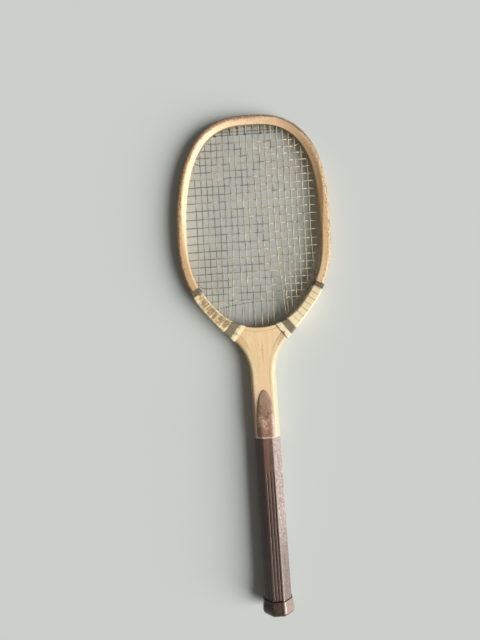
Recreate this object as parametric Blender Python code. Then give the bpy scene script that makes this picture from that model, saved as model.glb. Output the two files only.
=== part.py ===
"""Wooden tennis racket, lying on its back with its tip towards +Y. Metres, +Z up.

The bow is one bent strip. Its two tails run down the throat and the shaft into the handle, either
side of the stem of a wedge, and a yoke closes the head above that wedge. A place called UP is
measured from the butt end towards the tip. The origin is below the middle of the racket, on the
surface that its butt cap lies on.
"""
import math
from dataclasses import dataclass

import bmesh
import bpy
from mathutils import Matrix, Vector

# The whole racket
LENGTH = 0.686
HEAD_WIDTH = 0.212
WOOD_DEPTH = 0.019            # front to back, of the head, the throat and the shaft
CLEARANCE = 0.0003            # between pieces that touch

# The bow's outer edge
WIDEST_UP = 0.519
CROWN_POWER = 2.65            # 2 is an ellipse, more is squarer
CROWN_SET = 0.0038            # how far the old crown has warped to the right
CROWN_SET_UP = 0.660          # where that warp is complete
CHEEK_UP = 0.390              # where the edge turns from round to hollow
CHEEK_HALF = 0.049
CHEEK_ANGLE = math.radians(41)
CHEEK_REACH = 0.050           # lengths of the curve's handles
CHEEK_RETURN = 0.020
SIDE_REACH = 0.060
FLARE_REACH = 0.040
FLARE_UP = 0.325              # the straight shaft ends here
SHAFT_WIDTH = 0.0348

# The bow's section
BOW_THICKNESS = 0.013
TAIL_THICKNESS = 0.0089
THIN_FROM_UP = 0.345          # the strip has its tail's thickness up to here
FULL_FROM_UP = 0.400          # and its full thickness from here on
EDGE_CHAMFER = 0.0014
SHAFT_CHAMFER = 0.0045
INNER_CHAMFER = 0.0006
BEVEL_WIDTH = 0.0075          # the crown's sloping inner facet, seen from the front
BEVEL_DROP = 0.0030
BEVEL_FROM_UP = 0.500
BEVEL_FULL_UP = 0.610
RING_SPACING = 0.006

# The yoke and the wedge
YOKE_UP = 0.3938              # the lowest point of the head's opening
YOKE_SEAT_UP = 0.3886
HORN_UP = 0.4165              # where the yoke's curve runs into the bow, by the outer edge's place
HORN_TIP = 0.0009
YOKE_CHAMFER = 0.0006
YOKE_RINGS = 26

# The handle
HANDLE_UP = 0.2425            # where the handle starts
HANDLE_WIDTH_TOP = 0.0356
HANDLE_WIDTH_BUTT = 0.0372
HANDLE_DEPTH = 0.030
HANDLE_FACET_TOP = 0.0136     # width of the front facet
HANDLE_FACET_BUTT = 0.0157
TAIL_REBATE = 0.0040          # how much thinner the tails are under the side scales
TAIL_CHAMFER = 0.0034
TONGUE_LENGTH = 0.068         # of the front and back scales on the shaft
TONGUE_POWER = 4              # how long it stays wide before its arch closes
TONGUE_TIP = 0.0007
TONGUE_RIDGE = 0.2            # the least facet on top of it, as a share of its foot
TONGUE_RINGS = 9
FLUTE_COUNT = 3
FLUTE_PITCH = 0.0041
FLUTE_WIDTH = 0.0022
FLUTE_DEPTH = 0.0011
FLUTE_START = 0.0455          # from the handle's start down to the flutes' ends

# The butt cap
CAP_LENGTH = 0.018
CAP_FLOOR = 0.003
CAP_WALL = 0.0012             # at the open end
CAP_FLARE = 0.0014            # how much more it has near the butt
CAP_LAND = 0.0025             # length of the widest band
CAP_ROUND = 0.0045

# The bindings, one after another along the bow's outer edge
BINDINGS_UP = 0.3768          # where the lowest starts
BINDING_GAP = 0.0011
THREAD_DIAMETER = 0.00095
THREAD_PITCH = 0.00168
UPPER_THREAD_LOOPS = 4
LOWER_THREAD_LOOPS = 5
TAPE_THICKNESS = 0.0007
TAPE_GAP = 0.00055            # between one turn and the next
LONG_WRAP_TAPE = 0.0073       # width of its tape
LONG_WRAP_LOOPS = 7
SHORT_WRAP_TAPE = 0.0019
SHORT_WRAP_LOOPS = 2
CORNER_SHARE = 0.3            # of each quarter turn, spent going round the wood's corner
CORNER_STEPS = 2
TAPE_CORNER_STEPS = 3

# The strings
STRING_DIAMETER = 0.0012
TREBLE_DIAMETER = 0.0008
MAIN_COUNT = 16
MAIN_MARGIN = 0.0127          # from the outermost main to the bow, at the widest part
CROSS_COUNT = 21
CROSS_TOP_MARGIN = 0.0225     # from the highest cross to the crown
CROSS_BOTTOM_MARGIN = 0.0397  # from the yoke to the lowest cross
HOLE_CLEARANCE = 0.0003
HOLE_HEIGHT = 0.0030          # of the holes' outer ends, either side of the mid-plane
STRING_SET_IN = 0.003         # where a string bends towards its hole
STRING_END = 0.006            # tail left in the groove
LOOP_SUNK = 0.0006            # the loops lie this far below the bow's outer edge
LOOP_CORNER = 0.0009          # where a loop turns into its hole
LACING_STEP = 0.0065
YOKE_LACING_HALF = 0.022      # mains nearer the middle than this are laced through the yoke
BAND_MARGIN = 0.0024          # holes keep this far from the narrow bindings
HOLE_SPACING = 0.0032         # and from each other, along the bow
HOLE_STEP = 0.0002
TREBLE_TOP_MARGIN = 0.0130    # from the thin row to the crown
TREBLE_BOTTOM_MARGIN = 0.0302
TREBLE_BOTTOM_RISE = 0.0055
TREBLE_SET_IN = 0.009
TREBLE_HOLE_HEIGHT = 0.0042
TREBLE_HOLE_DEPTH = 0.006
TREBLE_POINTS = 9

HALF_DEPTH = WOOD_DEPTH / 2
SHAFT_HALF = SHAFT_WIDTH / 2
WRAP_CORNER = 2 * INNER_CHAMFER
HANDLE_HALF_DEPTH = HANDLE_DEPTH / 2
FLUTE_TOP_UP = HANDLE_UP - FLUTE_START
CAP_FLARE_UP = CAP_ROUND + CAP_LAND
CAP_HALF_DEPTH = HANDLE_HALF_DEPTH + CLEARANCE + CAP_WALL + CAP_FLARE
MID_HEIGHT = CAP_HALF_DEPTH   # height of the mid-plane above the surface it lies on
WOOD_END_UP = CAP_FLOOR + CLEARANCE
STRING_PLANE = STRING_DIAMETER / 2 + CLEARANCE / 2
GROOVE_DEPTH = LOOP_SUNK + STRING_DIAMETER + CLEARANCE
GROOVE_HALF = HOLE_HEIGHT + STRING_DIAMETER / 2 + 2 * HOLE_CLEARANCE
CROWN_INNER_UP = LENGTH - BOW_THICKNESS
MAIN_SPACING = (HEAD_WIDTH - 2 * (BOW_THICKNESS + MAIN_MARGIN)) / (MAIN_COUNT - 1)
CROSS_FIRST_UP = YOKE_UP + CROSS_BOTTOM_MARGIN
CROSS_SPACING = (CROWN_INNER_UP - CROSS_TOP_MARGIN - CROSS_FIRST_UP) / (CROSS_COUNT - 1)
SHORT_WRAP_PITCH = SHORT_WRAP_TAPE + TAPE_GAP
LONG_WRAP_PITCH = LONG_WRAP_TAPE + TAPE_GAP
SHORT_WRAP_RUN = SHORT_WRAP_PITCH * (SHORT_WRAP_LOOPS + 1)
LOWER_THREAD_RUN = THREAD_PITCH * LOWER_THREAD_LOOPS + THREAD_DIAMETER
LONG_WRAP_RUN = LONG_WRAP_PITCH * (LONG_WRAP_LOOPS + 1)
UPPER_THREAD_RUN = THREAD_PITCH * UPPER_THREAD_LOOPS + THREAD_DIAMETER

COLOURS = {
    "ash": ((0.72, 0.50, 0.28), 0.45),
    "throat": ((0.80, 0.60, 0.36), 0.42),
    "handle": ((0.13, 0.075, 0.048), 0.38),
    "cap": ((0.085, 0.055, 0.04), 0.35),
    "thread": ((0.075, 0.068, 0.055), 0.75),
    "tape": ((0.80, 0.72, 0.50), 0.6),
    "gut": ((0.62, 0.56, 0.44), 0.4),
}


EDGE_POINTS = (80, 60, 120, 240)     # along the shaft, the throat, the shoulder and the crown
HALVINGS = 40                 # of an interval, when a place is searched for
TANGENT_REACH = 0.002         # points this far apart give the edge's direction


@dataclass
class Station:
    """A place on the bow: a point of its outer edge and the direction into the head."""
    run: float
    edge: Vector
    inward: Vector

    def at(self, offset, height=0.0):
        """The point this far in from the outer edge, and this high above the mid-plane."""
        point = self.edge + self.inward * offset
        return Vector((point.x, point.y, height))

    @property
    def up(self):
        return self.edge.y + LENGTH / 2


def smooth(low, high, value):
    """0 below low, 1 above high and an S between them."""
    share = min(max((value - low) / (high - low), 0.0), 1.0)
    return share * share * (3 - 2 * share)


def bezier(start, start_handle, end_handle, end, steps):
    """Points along a cubic curve, without its last one."""
    points = []
    for step in range(steps):
        t = step / steps
        s = 1 - t
        points.append(s**3 * start + 3 * s * s * t * start_handle + 3 * s * t * t * end_handle + t**3 * end)
    return points


def half_edge():
    """The right half of the bow's outer edge, from the butt up to the crown, as (across, up)."""
    shaft_top = Vector((SHAFT_HALF, FLARE_UP))
    cheek = Vector((CHEEK_HALF, CHEEK_UP))
    side = Vector((HEAD_WIDTH / 2, WIDEST_UP))
    slope = Vector((math.sin(CHEEK_ANGLE), math.cos(CHEEK_ANGLE)))
    along = Vector((0, 1))
    low, throat, shoulder, crown = EDGE_POINTS
    points = [Vector((SHAFT_HALF, WOOD_END_UP + (FLARE_UP - WOOD_END_UP) * k / low)) for k in range(low)]
    points += bezier(shaft_top, shaft_top + along * FLARE_REACH, cheek - slope * CHEEK_RETURN, cheek, throat)
    points += bezier(cheek, cheek + slope * CHEEK_REACH, side - along * SIDE_REACH, side, shoulder)
    rise = LENGTH - WIDEST_UP
    for k in range(crown + 1):
        angle = math.pi / 2 * smooth(0, crown, k)
        across = side.x * math.cos(angle) ** (2 / CROWN_POWER) if k < crown else 0.0
        points.append(Vector((across, WIDEST_UP + rise * math.sin(angle) ** (2 / CROWN_POWER))))
    return points


class Edge:
    """The bow's whole outer edge, from the left tail's end over the crown to the right tail's end."""

    def __init__(self):
        right = half_edge()
        left = [Vector((-p.x, p.y)) for p in right[:-1]]
        self.points = []
        for p in left + right[::-1]:
            warp = CROWN_SET * smooth(WIDEST_UP, CROWN_SET_UP, p.y)
            self.points.append(Vector((p.x + warp, p.y - LENGTH / 2)))
        self.runs = [0.0]
        for a, b in zip(self.points, self.points[1:]):
            self.runs.append(self.runs[-1] + (b - a).length)
        self.length = self.runs[-1]
        self.crown_run = self.runs[len(left)]

    def point(self, run):
        """The edge's point this far along it."""
        run = min(max(run, 0.0), self.length)
        low, high = 0, len(self.runs) - 1
        while high - low > 1:
            middle = (low + high) // 2
            if self.runs[middle] <= run:
                low = middle
            else:
                high = middle
        share = (run - self.runs[low]) / (self.runs[high] - self.runs[low])
        return self.points[low].lerp(self.points[high], share)

    def station(self, run):
        ahead = (self.point(run + TANGENT_REACH) - self.point(run - TANGENT_REACH)).normalized()
        return Station(run, self.point(run), Vector((ahead.y, -ahead.x)))

    def find(self, low, high, test):
        """The run between low and high where test changes from negative to positive or back."""
        rising = test(self.station(high)) > 0
        for _ in range(HALVINGS):
            middle = (low + high) / 2
            if (test(self.station(middle)) > 0) == rising:
                high = middle
            else:
                low = middle
        return (low + high) / 2

    def run_at(self, side, up):
        """The run of the outer edge's place this far up, below the widest part, on side -1 or 1."""
        low, high = (0.0, self.crown_run) if side < 0 else (self.crown_run, self.length)
        return self.find(low, high, lambda station: station.up - up)


EDGE = Edge()


def bow_thickness(station):
    share = smooth(THIN_FROM_UP, FULL_FROM_UP, station.up)
    return TAIL_THICKNESS + (BOW_THICKNESS - TAIL_THICKNESS) * share


def yoke_circle():
    """The curve of the yoke's upper edge: from the opening's lowest point to the bow at the horns."""
    horn = EDGE.station(EDGE.run_at(1, HORN_UP))
    end = horn.at(bow_thickness(horn)).xy
    low = YOKE_UP - LENGTH / 2
    radius = (end.x**2 + (end.y - low) ** 2) / (2 * (end.y - low))
    return Vector((0, low + radius)), radius


YOKE_CENTRE, YOKE_RADIUS = yoke_circle()


def wood_thickness(station):
    """From the outer edge to the head's opening: the bow alone, or with the yoke inside it."""
    bow = bow_thickness(station)
    if station.up > HORN_UP:
        return bow
    offset = station.edge - YOKE_CENTRE
    along = -offset.dot(station.inward)
    room = YOKE_RADIUS**2 - (offset.length_squared - along * along)
    return max(bow, along - math.sqrt(max(room, 0.0)))


def bow_rings():
    """Where the bow's sections stand, as (run, rebated): even steps, with a shoulder at the handle."""
    rings = []
    for side in (-1, 1):
        shoulder = EDGE.run_at(side, HANDLE_UP)
        flare = EDGE.run_at(side, FLARE_UP)
        end = 0.0 if side < 0 else EDGE.length
        steps = max(2, round(abs(EDGE.crown_run - flare) / RING_SPACING))
        foot = EDGE.run_at(side, HANDLE_UP - CLEARANCE)
        half = [(end, True), (foot, True), (shoulder, False)]
        half += [(flare + (EDGE.crown_run - flare) * k / steps, False) for k in range(steps)]
        rings += half if side < 0 else [(EDGE.crown_run, False)] + half[::-1]
    return rings


def bow_section(run, rebated):
    """The bow's outline at one place: outer corners, then inner ones."""
    station = EDGE.station(run)
    thickness = bow_thickness(station)
    to_shaft = 1 - smooth(FLARE_UP, CHEEK_UP, station.up)
    outer = TAIL_REBATE if rebated else 0.0
    corner = TAIL_CHAMFER if rebated else EDGE_CHAMFER + (SHAFT_CHAMFER - EDGE_CHAMFER) * to_shaft
    bevel = smooth(BEVEL_FROM_UP, BEVEL_FULL_UP, station.up)
    width = INNER_CHAMFER + (BEVEL_WIDTH - INNER_CHAMFER) * bevel
    drop = INNER_CHAMFER + (BEVEL_DROP - INNER_CHAMFER) * bevel
    d = HALF_DEPTH
    profile = [(outer + corner, -d), (outer, corner - d), (outer, d - corner), (outer + corner, d),
               (thickness - width, d), (thickness, d - drop), (thickness, drop - d), (thickness - width, -d)]
    return [station.at(u, z) for u, z in profile]


def loft(name, rings, closed_ends=True):
    """A mesh through rings of equal size, with flat ends."""
    mesh = bmesh.new()
    rows = [[mesh.verts.new(p) for p in ring] for ring in rings]
    size = len(rows[0])
    for a, b in zip(rows, rows[1:]):
        for k in range(size):
            mesh.faces.new((a[k], a[(k + 1) % size], b[(k + 1) % size], b[k]))
    if closed_ends:
        mesh.faces.new(rows[0][::-1])
        mesh.faces.new(rows[-1])
    bmesh.ops.recalc_face_normals(mesh, faces=mesh.faces)
    data = bpy.data.meshes.new(name)
    mesh.to_mesh(data)
    mesh.free()
    return data


def material(name):
    found = bpy.data.materials.get(name)
    if found:
        return found
    colour, roughness = COLOURS[name]
    made = bpy.data.materials.new(name)
    made.use_nodes = True
    shader = made.node_tree.nodes["Principled BSDF"]
    shader.inputs["Base Color"].default_value = (*colour, 1.0)
    shader.inputs["Roughness"].default_value = roughness
    shader.inputs["Metallic"].default_value = 0.0
    return made


def place(name, data, finish):
    """An object on the racket's mid-plane, in its finish."""
    thing = bpy.data.objects.new(name, data)
    bpy.context.collection.objects.link(thing)
    thing.parent = ROOT
    data.materials.append(material(finish))
    return thing


def cutter(name, data):
    thing = bpy.data.objects.new(name, data)
    bpy.context.collection.objects.link(thing)
    thing.parent = ROOT
    thing.hide_render = True
    thing.display_type = "WIRE"
    return thing


def cut(thing, tool):
    change = thing.modifiers.new(tool.name, "BOOLEAN")
    change.operation = "DIFFERENCE"
    change.object = tool
    change.solver = "EXACT"


def joined(name, meshes):
    """One mesh holding several separate shapes, for a cutter."""
    whole = bmesh.new()
    for data in meshes:
        whole.from_mesh(data)
    result = bpy.data.meshes.new(name)
    whole.to_mesh(result)
    whole.free()
    return result


def prism(start, end, radius, sides=6, twist=0.25):
    """A straight round cutter between two points; twist turns its corners by a share of a side."""
    axis = (end - start).normalized()
    turn = axis.to_track_quat("Z", "Y").to_matrix()
    rings = []
    for centre in (start, end):
        ring = []
        for k in range(sides):
            angle = math.tau * (k + twist) / sides
            ring.append(centre + turn @ Vector((radius * math.cos(angle), radius * math.sin(angle), 0)))
        rings.append(ring)
    return loft("prism", rings)


def wire(name, points, diameter, finish, resolution=1):
    """A round string or thread along a list of points."""
    curve = bpy.data.curves.new(name, "CURVE")
    curve.dimensions = "3D"
    curve.bevel_depth = diameter / 2
    curve.bevel_resolution = resolution
    curve.use_fill_caps = True
    spline = curve.splines.new("POLY")
    spline.points.add(len(points) - 1)
    for slot, point in zip(spline.points, points):
        slot.co = (*point, 1.0)
    return place(name, curve, finish)


# Strings: where they go through the wood

@dataclass
class Hole:
    """A string's way through the wood, from the bend inside the head to its outer end."""
    bend: Vector
    mouth: Vector
    out: Vector
    run: float | None        # its place on the bow, or None in the yoke


def binding_runs(side):
    """Where the bindings lie on one side, from the throat up: a name and its two ends along the edge."""
    start = EDGE.run_at(side, BINDINGS_UP)
    towards_head = -side
    stretches = {}
    for name, run in (("short_wrap", SHORT_WRAP_RUN), ("lower_thread", LOWER_THREAD_RUN),
                      ("long_wrap", LONG_WRAP_RUN), ("upper_thread", UPPER_THREAD_RUN)):
        end = start + towards_head * run
        stretches[name] = sorted((start, end))
        start = end + towards_head * BINDING_GAP
    return stretches


BINDINGS = {side: binding_runs(side) for side in (-1, 1)}


def groove_end(side):
    """The string groove starts under the middle of the short binding."""
    return sum(BINDINGS[side]["short_wrap"]) / 2


def under_narrow_binding(run):
    """Whether a hole here would come out under or beside a thread band or the narrow tape."""
    narrow = ("short_wrap", "lower_thread", "upper_thread")
    bands = [BINDINGS[side][name] for side in (-1, 1) for name in narrow]
    return any(low - BAND_MARGIN < run < high + BAND_MARGIN for low, high in bands)


def free_run(wanted, taken):
    """The next place towards the crown that is clear of narrow bindings and of the holes made before."""
    step = HOLE_STEP if wanted < EDGE.crown_run else -HOLE_STEP
    run = wanted
    while under_narrow_binding(run) or any(abs(run - other) < HOLE_SPACING for other in taken):
        run += step
    return run


def bow_hole(run, level, taken):
    """A hole square to the bow; level is 1 for the mains and -1 for the crosses."""
    station = EDGE.station(free_run(run, taken))
    taken.append(station.run)
    thickness = wood_thickness(station)
    exit_offset = GROOVE_DEPTH - CLEARANCE - STRING_DIAMETER / 2
    bend = station.at(thickness + STRING_SET_IN, level * STRING_PLANE)
    out = station.at(exit_offset, level * HOLE_HEIGHT)
    share = STRING_SET_IN / (thickness + STRING_SET_IN - exit_offset)
    return Hole(bend, bend.lerp(out, share), out, station.run)


def yoke_hole(across):
    """A hole for a main through the yoke, square to its curve."""
    angle = math.asin(across / YOKE_RADIUS)
    down = Vector((math.sin(angle), -math.cos(angle)))
    surface = YOKE_CENTRE + down * YOKE_RADIUS
    reach = (surface.y - yoke_string_y()) / -down.y
    bend = surface - down * STRING_SET_IN
    out = surface + down * reach
    level = Vector((out.x, out.y, HOLE_HEIGHT))
    start = Vector((bend.x, bend.y, STRING_PLANE))
    return Hole(start, start.lerp(level, STRING_SET_IN / (STRING_SET_IN + reach)), level, None)


def yoke_string_y():
    """Where the mains' loops lie, in the pockets just below the yoke."""
    return YOKE_SEAT_UP - LENGTH / 2 - CLEARANCE - STRING_DIAMETER / 2


def mouth_point(station):
    return station.at(wood_thickness(station))


def main_holes(taken):
    """Pairs of holes, top and bottom, of each main from left to right."""
    left, right = (EDGE.run_at(side, WIDEST_UP - RING_SPACING) for side in (-1, 1))
    lines = [(k - (MAIN_COUNT - 1) / 2) * MAIN_SPACING for k in range(MAIN_COUNT)]
    pairs = {}
    for across in sorted(lines, key=abs):
        if abs(across) < YOKE_LACING_HALF:
            bottom = yoke_hole(across)
        else:
            low, high = (groove_end(-1), left) if across < 0 else (right, groove_end(1))
            bottom = bow_hole(EDGE.find(low, high, lambda s, x=across: mouth_point(s).x - x), 1, taken)
        top = bow_hole(EDGE.find(left, right, lambda s, x=across: mouth_point(s).x - x), 1, taken)
        pairs[across] = (top, bottom)
    return [pairs[across] for across in lines]


def cross_holes(taken):
    """Pairs of holes, left and right, of each cross string from the lowest up."""
    pairs = []
    for k in range(CROSS_COUNT):
        y = CROSS_FIRST_UP + k * CROSS_SPACING - LENGTH / 2
        pair = []
        for side in (-1, 1):
            run = EDGE.find(groove_end(side), EDGE.crown_run, lambda s, y=y: mouth_point(s).y - y)
            pair.append(bow_hole(run, -1, taken))
        pairs.append(tuple(pair))
    return pairs


def loop_between(first, second):
    """The points of a string's loop outside the wood, from one hole's outer end to the other's."""
    level = first.out.z
    if first.run is None:
        path = [first.out, second.out]
    else:
        distance = second.run - first.run
        steps = max(1, math.ceil(abs(distance) / LACING_STEP))
        offset = (first.out.xy - EDGE.station(first.run).edge).length
        path = [EDGE.station(first.run + distance * k / steps).at(offset, level) for k in range(steps + 1)]
    into = (first.mouth - first.out).normalized()
    back = (second.mouth - second.out).normalized()
    ahead = (path[1] - path[0]).normalized()
    behind = (path[-2] - path[-1]).normalized()
    return [path[0] + into * LOOP_CORNER, path[0] + ahead * LOOP_CORNER, *path[1:-1],
            path[-1] + behind * LOOP_CORNER, path[-1] + back * LOOP_CORNER]


def string_end(hole, direction):
    """The tail of a string: out through its hole and a little way along the groove."""
    offset = (hole.out.xy - EDGE.station(hole.run).edge).length
    into = (hole.mouth - hole.out).normalized()
    last = EDGE.station(hole.run + direction * STRING_END).at(offset, hole.out.z)
    ahead = (last - hole.out).normalized()
    return [hole.out + into * LOOP_CORNER, hole.out + ahead * LOOP_CORNER, last]


def laced(pairs, first_end, last_end):
    """One string through pairs of holes, back and forth, with a loop outside at each turn."""
    points = []
    previous = None
    for k, pair in enumerate(pairs):
        start, end = pair if k % 2 == 0 else pair[::-1]
        if previous is None:
            points += string_end(start, first_end)[::-1]
        else:
            points += loop_between(previous, start)
        points += [start.bend, end.bend]
        previous = end
    return points + string_end(previous, last_end)


def treble(up, rise):
    """A thin string laid across the mains, and the two blind holes that hold its ends."""
    y = up - LENGTH / 2
    level = STRING_PLANE + (STRING_DIAMETER + TREBLE_DIAMETER) / 2 + CLEARANCE
    ends = []
    holes = []
    for side in (-1, 1):
        run = EDGE.find(groove_end(side), EDGE.crown_run, lambda s: mouth_point(s).y - y)
        station = EDGE.station(run)
        thickness = wood_thickness(station)
        bend = station.at(thickness + TREBLE_SET_IN, level)
        mouth = station.at(thickness, TREBLE_HOLE_HEIGHT)
        into = (mouth - bend).normalized()
        ends.append([mouth + into * (TREBLE_HOLE_DEPTH - CLEARANCE), bend])
        radius = TREBLE_DIAMETER / 2 + HOLE_CLEARANCE
        holes.append(prism(mouth - into * radius * 3, mouth + into * TREBLE_HOLE_DEPTH, radius))
    left, right = ends[0][1], ends[1][1]
    middle = []
    for k in range(1, TREBLE_POINTS):
        share = k / TREBLE_POINTS
        point = left.lerp(right, share)
        middle.append(point + Vector((0, rise * (1 - (2 * share - 1) ** 2), 0)))
    return [*ends[0], *middle, *ends[1][::-1]], holes


# Bindings: paths round the wood

def skin_point(station, corner, angle, lift):
    """A point on the rounded rectangle round the wood; corner 0 is the outer back one."""
    thickness = wood_thickness(station)
    radius = WRAP_CORNER
    inner, front = corner in (2, 3), corner in (1, 2)
    u = (thickness - radius if inner else radius) + (radius + lift) * math.sin(angle)
    z = (HALF_DEPTH - radius if front else radius - HALF_DEPTH) + (radius + lift) * math.cos(angle)
    return station.at(u, z)


def winding(start, end, loops, steps):
    """Stations and angles along a helix round the wood, from the middle of its back round and round."""
    turn = [(0, math.radians(180 + 90 * k / steps)) for k in range(steps + 1)]
    turn += [(1, math.radians(270 + 90 * k / steps)) for k in range(steps + 1)]
    turn += [(2, math.radians(90 * k / steps)) for k in range(steps + 1)]
    turn += [(3, math.radians(90 + 90 * k / steps)) for k in range(steps + 1)]
    path = [(0.0, None, 0.0)]
    for loop in range(loops):
        for k, (corner, angle) in enumerate(turn):
            quarter = corner + (1 - CORNER_SHARE) / 2 + CORNER_SHARE * (k % (steps + 1)) / steps
            path.append(((loop + quarter / 4) / loops, corner, angle))
    path.append((1.0, None, 0.0))
    return [(start + (end - start) * share, corner, angle) for share, corner, angle in path]


def wound_point(run, corner, angle, lift):
    """One point of a winding; its two ends lie in the middle of the back."""
    station = EDGE.station(run)
    if corner is None:
        return station.at(wood_thickness(station) / 2, -HALF_DEPTH - lift)
    return skin_point(station, corner, angle, lift)


def least_gap(low_edge, high_edge, per_loop):
    """The smallest gap between one loop's high edge and the next one's low edge, point by point."""
    return min((low_edge[k + per_loop] - high_edge[k]).length for k in range(1, len(low_edge) - 1 - per_loop))


def thread_band(name, band, loops):
    """A whipping of thread, one loop beside the other."""
    margin = THREAD_DIAMETER / 2
    low, high = band
    lift = CLEARANCE + margin
    path = winding(low + margin, high - margin, loops, CORNER_STEPS)
    points = [wound_point(run, corner, angle, lift) for run, corner, angle in path]
    gap = least_gap(points, points, 4 * (CORNER_STEPS + 1)) - THREAD_DIAMETER
    print(name, "least gap", round(1000 * gap, 2), "mm")
    return wire(name, points, THREAD_DIAMETER, "thread")


def tape_wrap(name, band, loops, tape_width, holes):
    """A binding of flat tape, with the holes that the strings come through."""
    low, high = band
    half = tape_width / 2
    inset = half + TAPE_GAP / 2
    path = winding(low + inset, high - inset, loops, TAPE_CORNER_STEPS)
    outer = CLEARANCE + TAPE_THICKNESS
    rings = []
    for run, corner, angle in path:
        profile = ((-half, CLEARANCE), (half, CLEARANCE), (half, outer), (-half, outer))
        rings.append([wound_point(run + reach, corner, angle, lift) for reach, lift in profile])
    gap = least_gap([ring[0] for ring in rings], [ring[1] for ring in rings], 4 * (TAPE_CORNER_STEPS + 1))
    print(name, "least gap", round(1000 * gap, 2), "mm")
    wrap = place(name, loft(name, rings), "tape")
    cut(wrap, holes)
    return wrap


# The wooden pieces

def build_bow(groove, holes):
    bow = place("bow", loft("bow", [bow_section(run, rebated) for run, rebated in bow_rings()]), "ash")
    cut(bow, groove)
    cut(bow, holes)


def groove_mesh():
    """The channel round the outer edge that the string's loops lie in."""
    ends = [groove_end(side) for side in (-1, 1)]
    runs = [run for run, _ in bow_rings() if ends[0] < run < ends[1]]
    outside, half = -GROOVE_DEPTH, GROOVE_HALF
    rings = []
    for run in (ends[0], *runs, ends[1]):
        station = EDGE.station(run)
        rings.append([station.at(u, z) for u, z in (
            (outside, -half), (outside, half), (GROOVE_DEPTH, half), (GROOVE_DEPTH, -half))])
    return loft("string_groove", rings)


def inner_line():
    """Points of the tails' and the bow's inner edge on the right, with clearance, from the butt up."""
    line = []
    for run, rebated in reversed(bow_rings()):
        station = EDGE.station(run)
        if station.edge.x > 0 and station.up < WIDEST_UP:
            line.append(station.at(bow_thickness(station) + CLEARANCE).xy)
    return line


def reach_to(line, start, direction):
    """How far a ray from start goes before it meets the line of points."""
    nearest = math.inf
    for a, b in zip(line, line[1:]):
        edge = b - a
        cross = direction.x * edge.y - direction.y * edge.x
        if abs(cross) < 1e-12:
            continue
        gap = a - start
        distance = (gap.x * edge.y - gap.y * edge.x) / cross
        share = (gap.x * direction.y - gap.y * direction.x) / cross
        if distance > 0 and -1e-6 <= share <= 1 + 1e-6:
            nearest = min(nearest, distance)
    return nearest


def yoke_reach(line, angle):
    """The yoke's depth along a ray from its curve's centre, to its flat seat or the bow's inner edge.

    The ray starts well inside the head, so that the depth is negative where the curve is in the bow.
    """
    outward = Vector((math.sin(angle), -math.cos(angle)))
    surface = YOKE_CENTRE + outward * YOKE_RADIUS
    seat = (surface.y - (YOKE_SEAT_UP - LENGTH / 2)) / -outward.y
    return min(seat, reach_to(line, surface - outward * BOW_THICKNESS, outward) - BOW_THICKNESS)


def build_yoke(holes):
    """The curved piece that closes the head, thickest at its haunches, with horns inside the bow."""
    line = inner_line()
    horn = EDGE.station(EDGE.run_at(1, HORN_UP))
    end = horn.at(bow_thickness(horn)).xy - YOKE_CENTRE
    low, tip = 0.0, math.atan2(end.x, -end.y)
    for _ in range(HALVINGS):
        middle = (low + tip) / 2
        low, tip = (middle, tip) if yoke_reach(line, middle) > HORN_TIP else (low, middle)
    d, c = HALF_DEPTH, YOKE_CHAMFER
    rings = []
    for k in range(YOKE_RINGS + 1):
        angle = low * (2 * k / YOKE_RINGS - 1)
        outward = Vector((math.sin(angle), -math.cos(angle)))
        depth = yoke_reach(line, abs(angle))
        ring = []
        for u, z in ((0, c - d), (0, d - c), (c, d), (depth, d), (depth, -d), (c, -d)):
            point = YOKE_CENTRE + outward * (YOKE_RADIUS + u)
            ring.append(Vector((point.x, point.y, z)))
        rings.append(ring)
    cut(place("throat_yoke", loft("throat_yoke", rings), "throat"), holes)


def wedge_section(half, y):
    return [Vector((x, y, z)) for x, z in (
        (-half, -HALF_DEPTH), (half, -HALF_DEPTH), (half, HALF_DEPTH), (-half, HALF_DEPTH))]


def build_wedge(pockets):
    """The wedge and its stem, which runs between the tails down to the butt."""
    seat = YOKE_SEAT_UP - LENGTH / 2 - CLEARANCE
    line = inner_line()
    below = [p for p in line if p.y < seat]
    above = line[len(below)]
    last = below[-1]
    top = last.lerp(above, (seat - last.y) / (above.y - last.y))
    rings = []
    for p in [*below, top]:
        if not rings or p.y - rings[-1][0].y > CLEARANCE:
            rings.append(wedge_section(p.x, p.y))
    cut(place("throat_wedge", loft("throat_wedge", rings), "throat"), pockets)


def pocket_mesh(pairs):
    """Slots in the wedge's top for the mains' loops under the yoke."""
    outs = [bottom.out.x for _, bottom in pairs if bottom.run is None]
    y = yoke_string_y()
    room = STRING_DIAMETER / 2 + HOLE_CLEARANCE
    shapes = []
    for a, b in zip(outs[::2], outs[1::2]):
        low, high = Vector((a - 2 * room, 0, 0)), Vector((b + 2 * room, 0, 0))
        rings = []
        for x in (low.x, high.x):
            rings.append([Vector((x, y + dy, HOLE_HEIGHT + dz)) for dy, dz in (
                (-room, -2 * room), (-room, 2 * room), (4 * room, 2 * room), (4 * room, -2 * room))])
        shapes.append(loft("pocket", rings))
    return joined("string_pockets", shapes)


# The handle

def tapered(top, butt, up):
    """A size of the handle this far up, from what it is at the handle's two ends."""
    share = (up - WOOD_END_UP) / (HANDLE_UP - WOOD_END_UP)
    return butt + (top - butt) * share


def handle_half(up):
    """Half the handle's width this far up."""
    return tapered(HANDLE_WIDTH_TOP, HANDLE_WIDTH_BUTT, up) / 2


def facet_half(up):
    """Half the width of its front facet."""
    return tapered(HANDLE_FACET_TOP, HANDLE_FACET_BUTT, up) / 2


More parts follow.
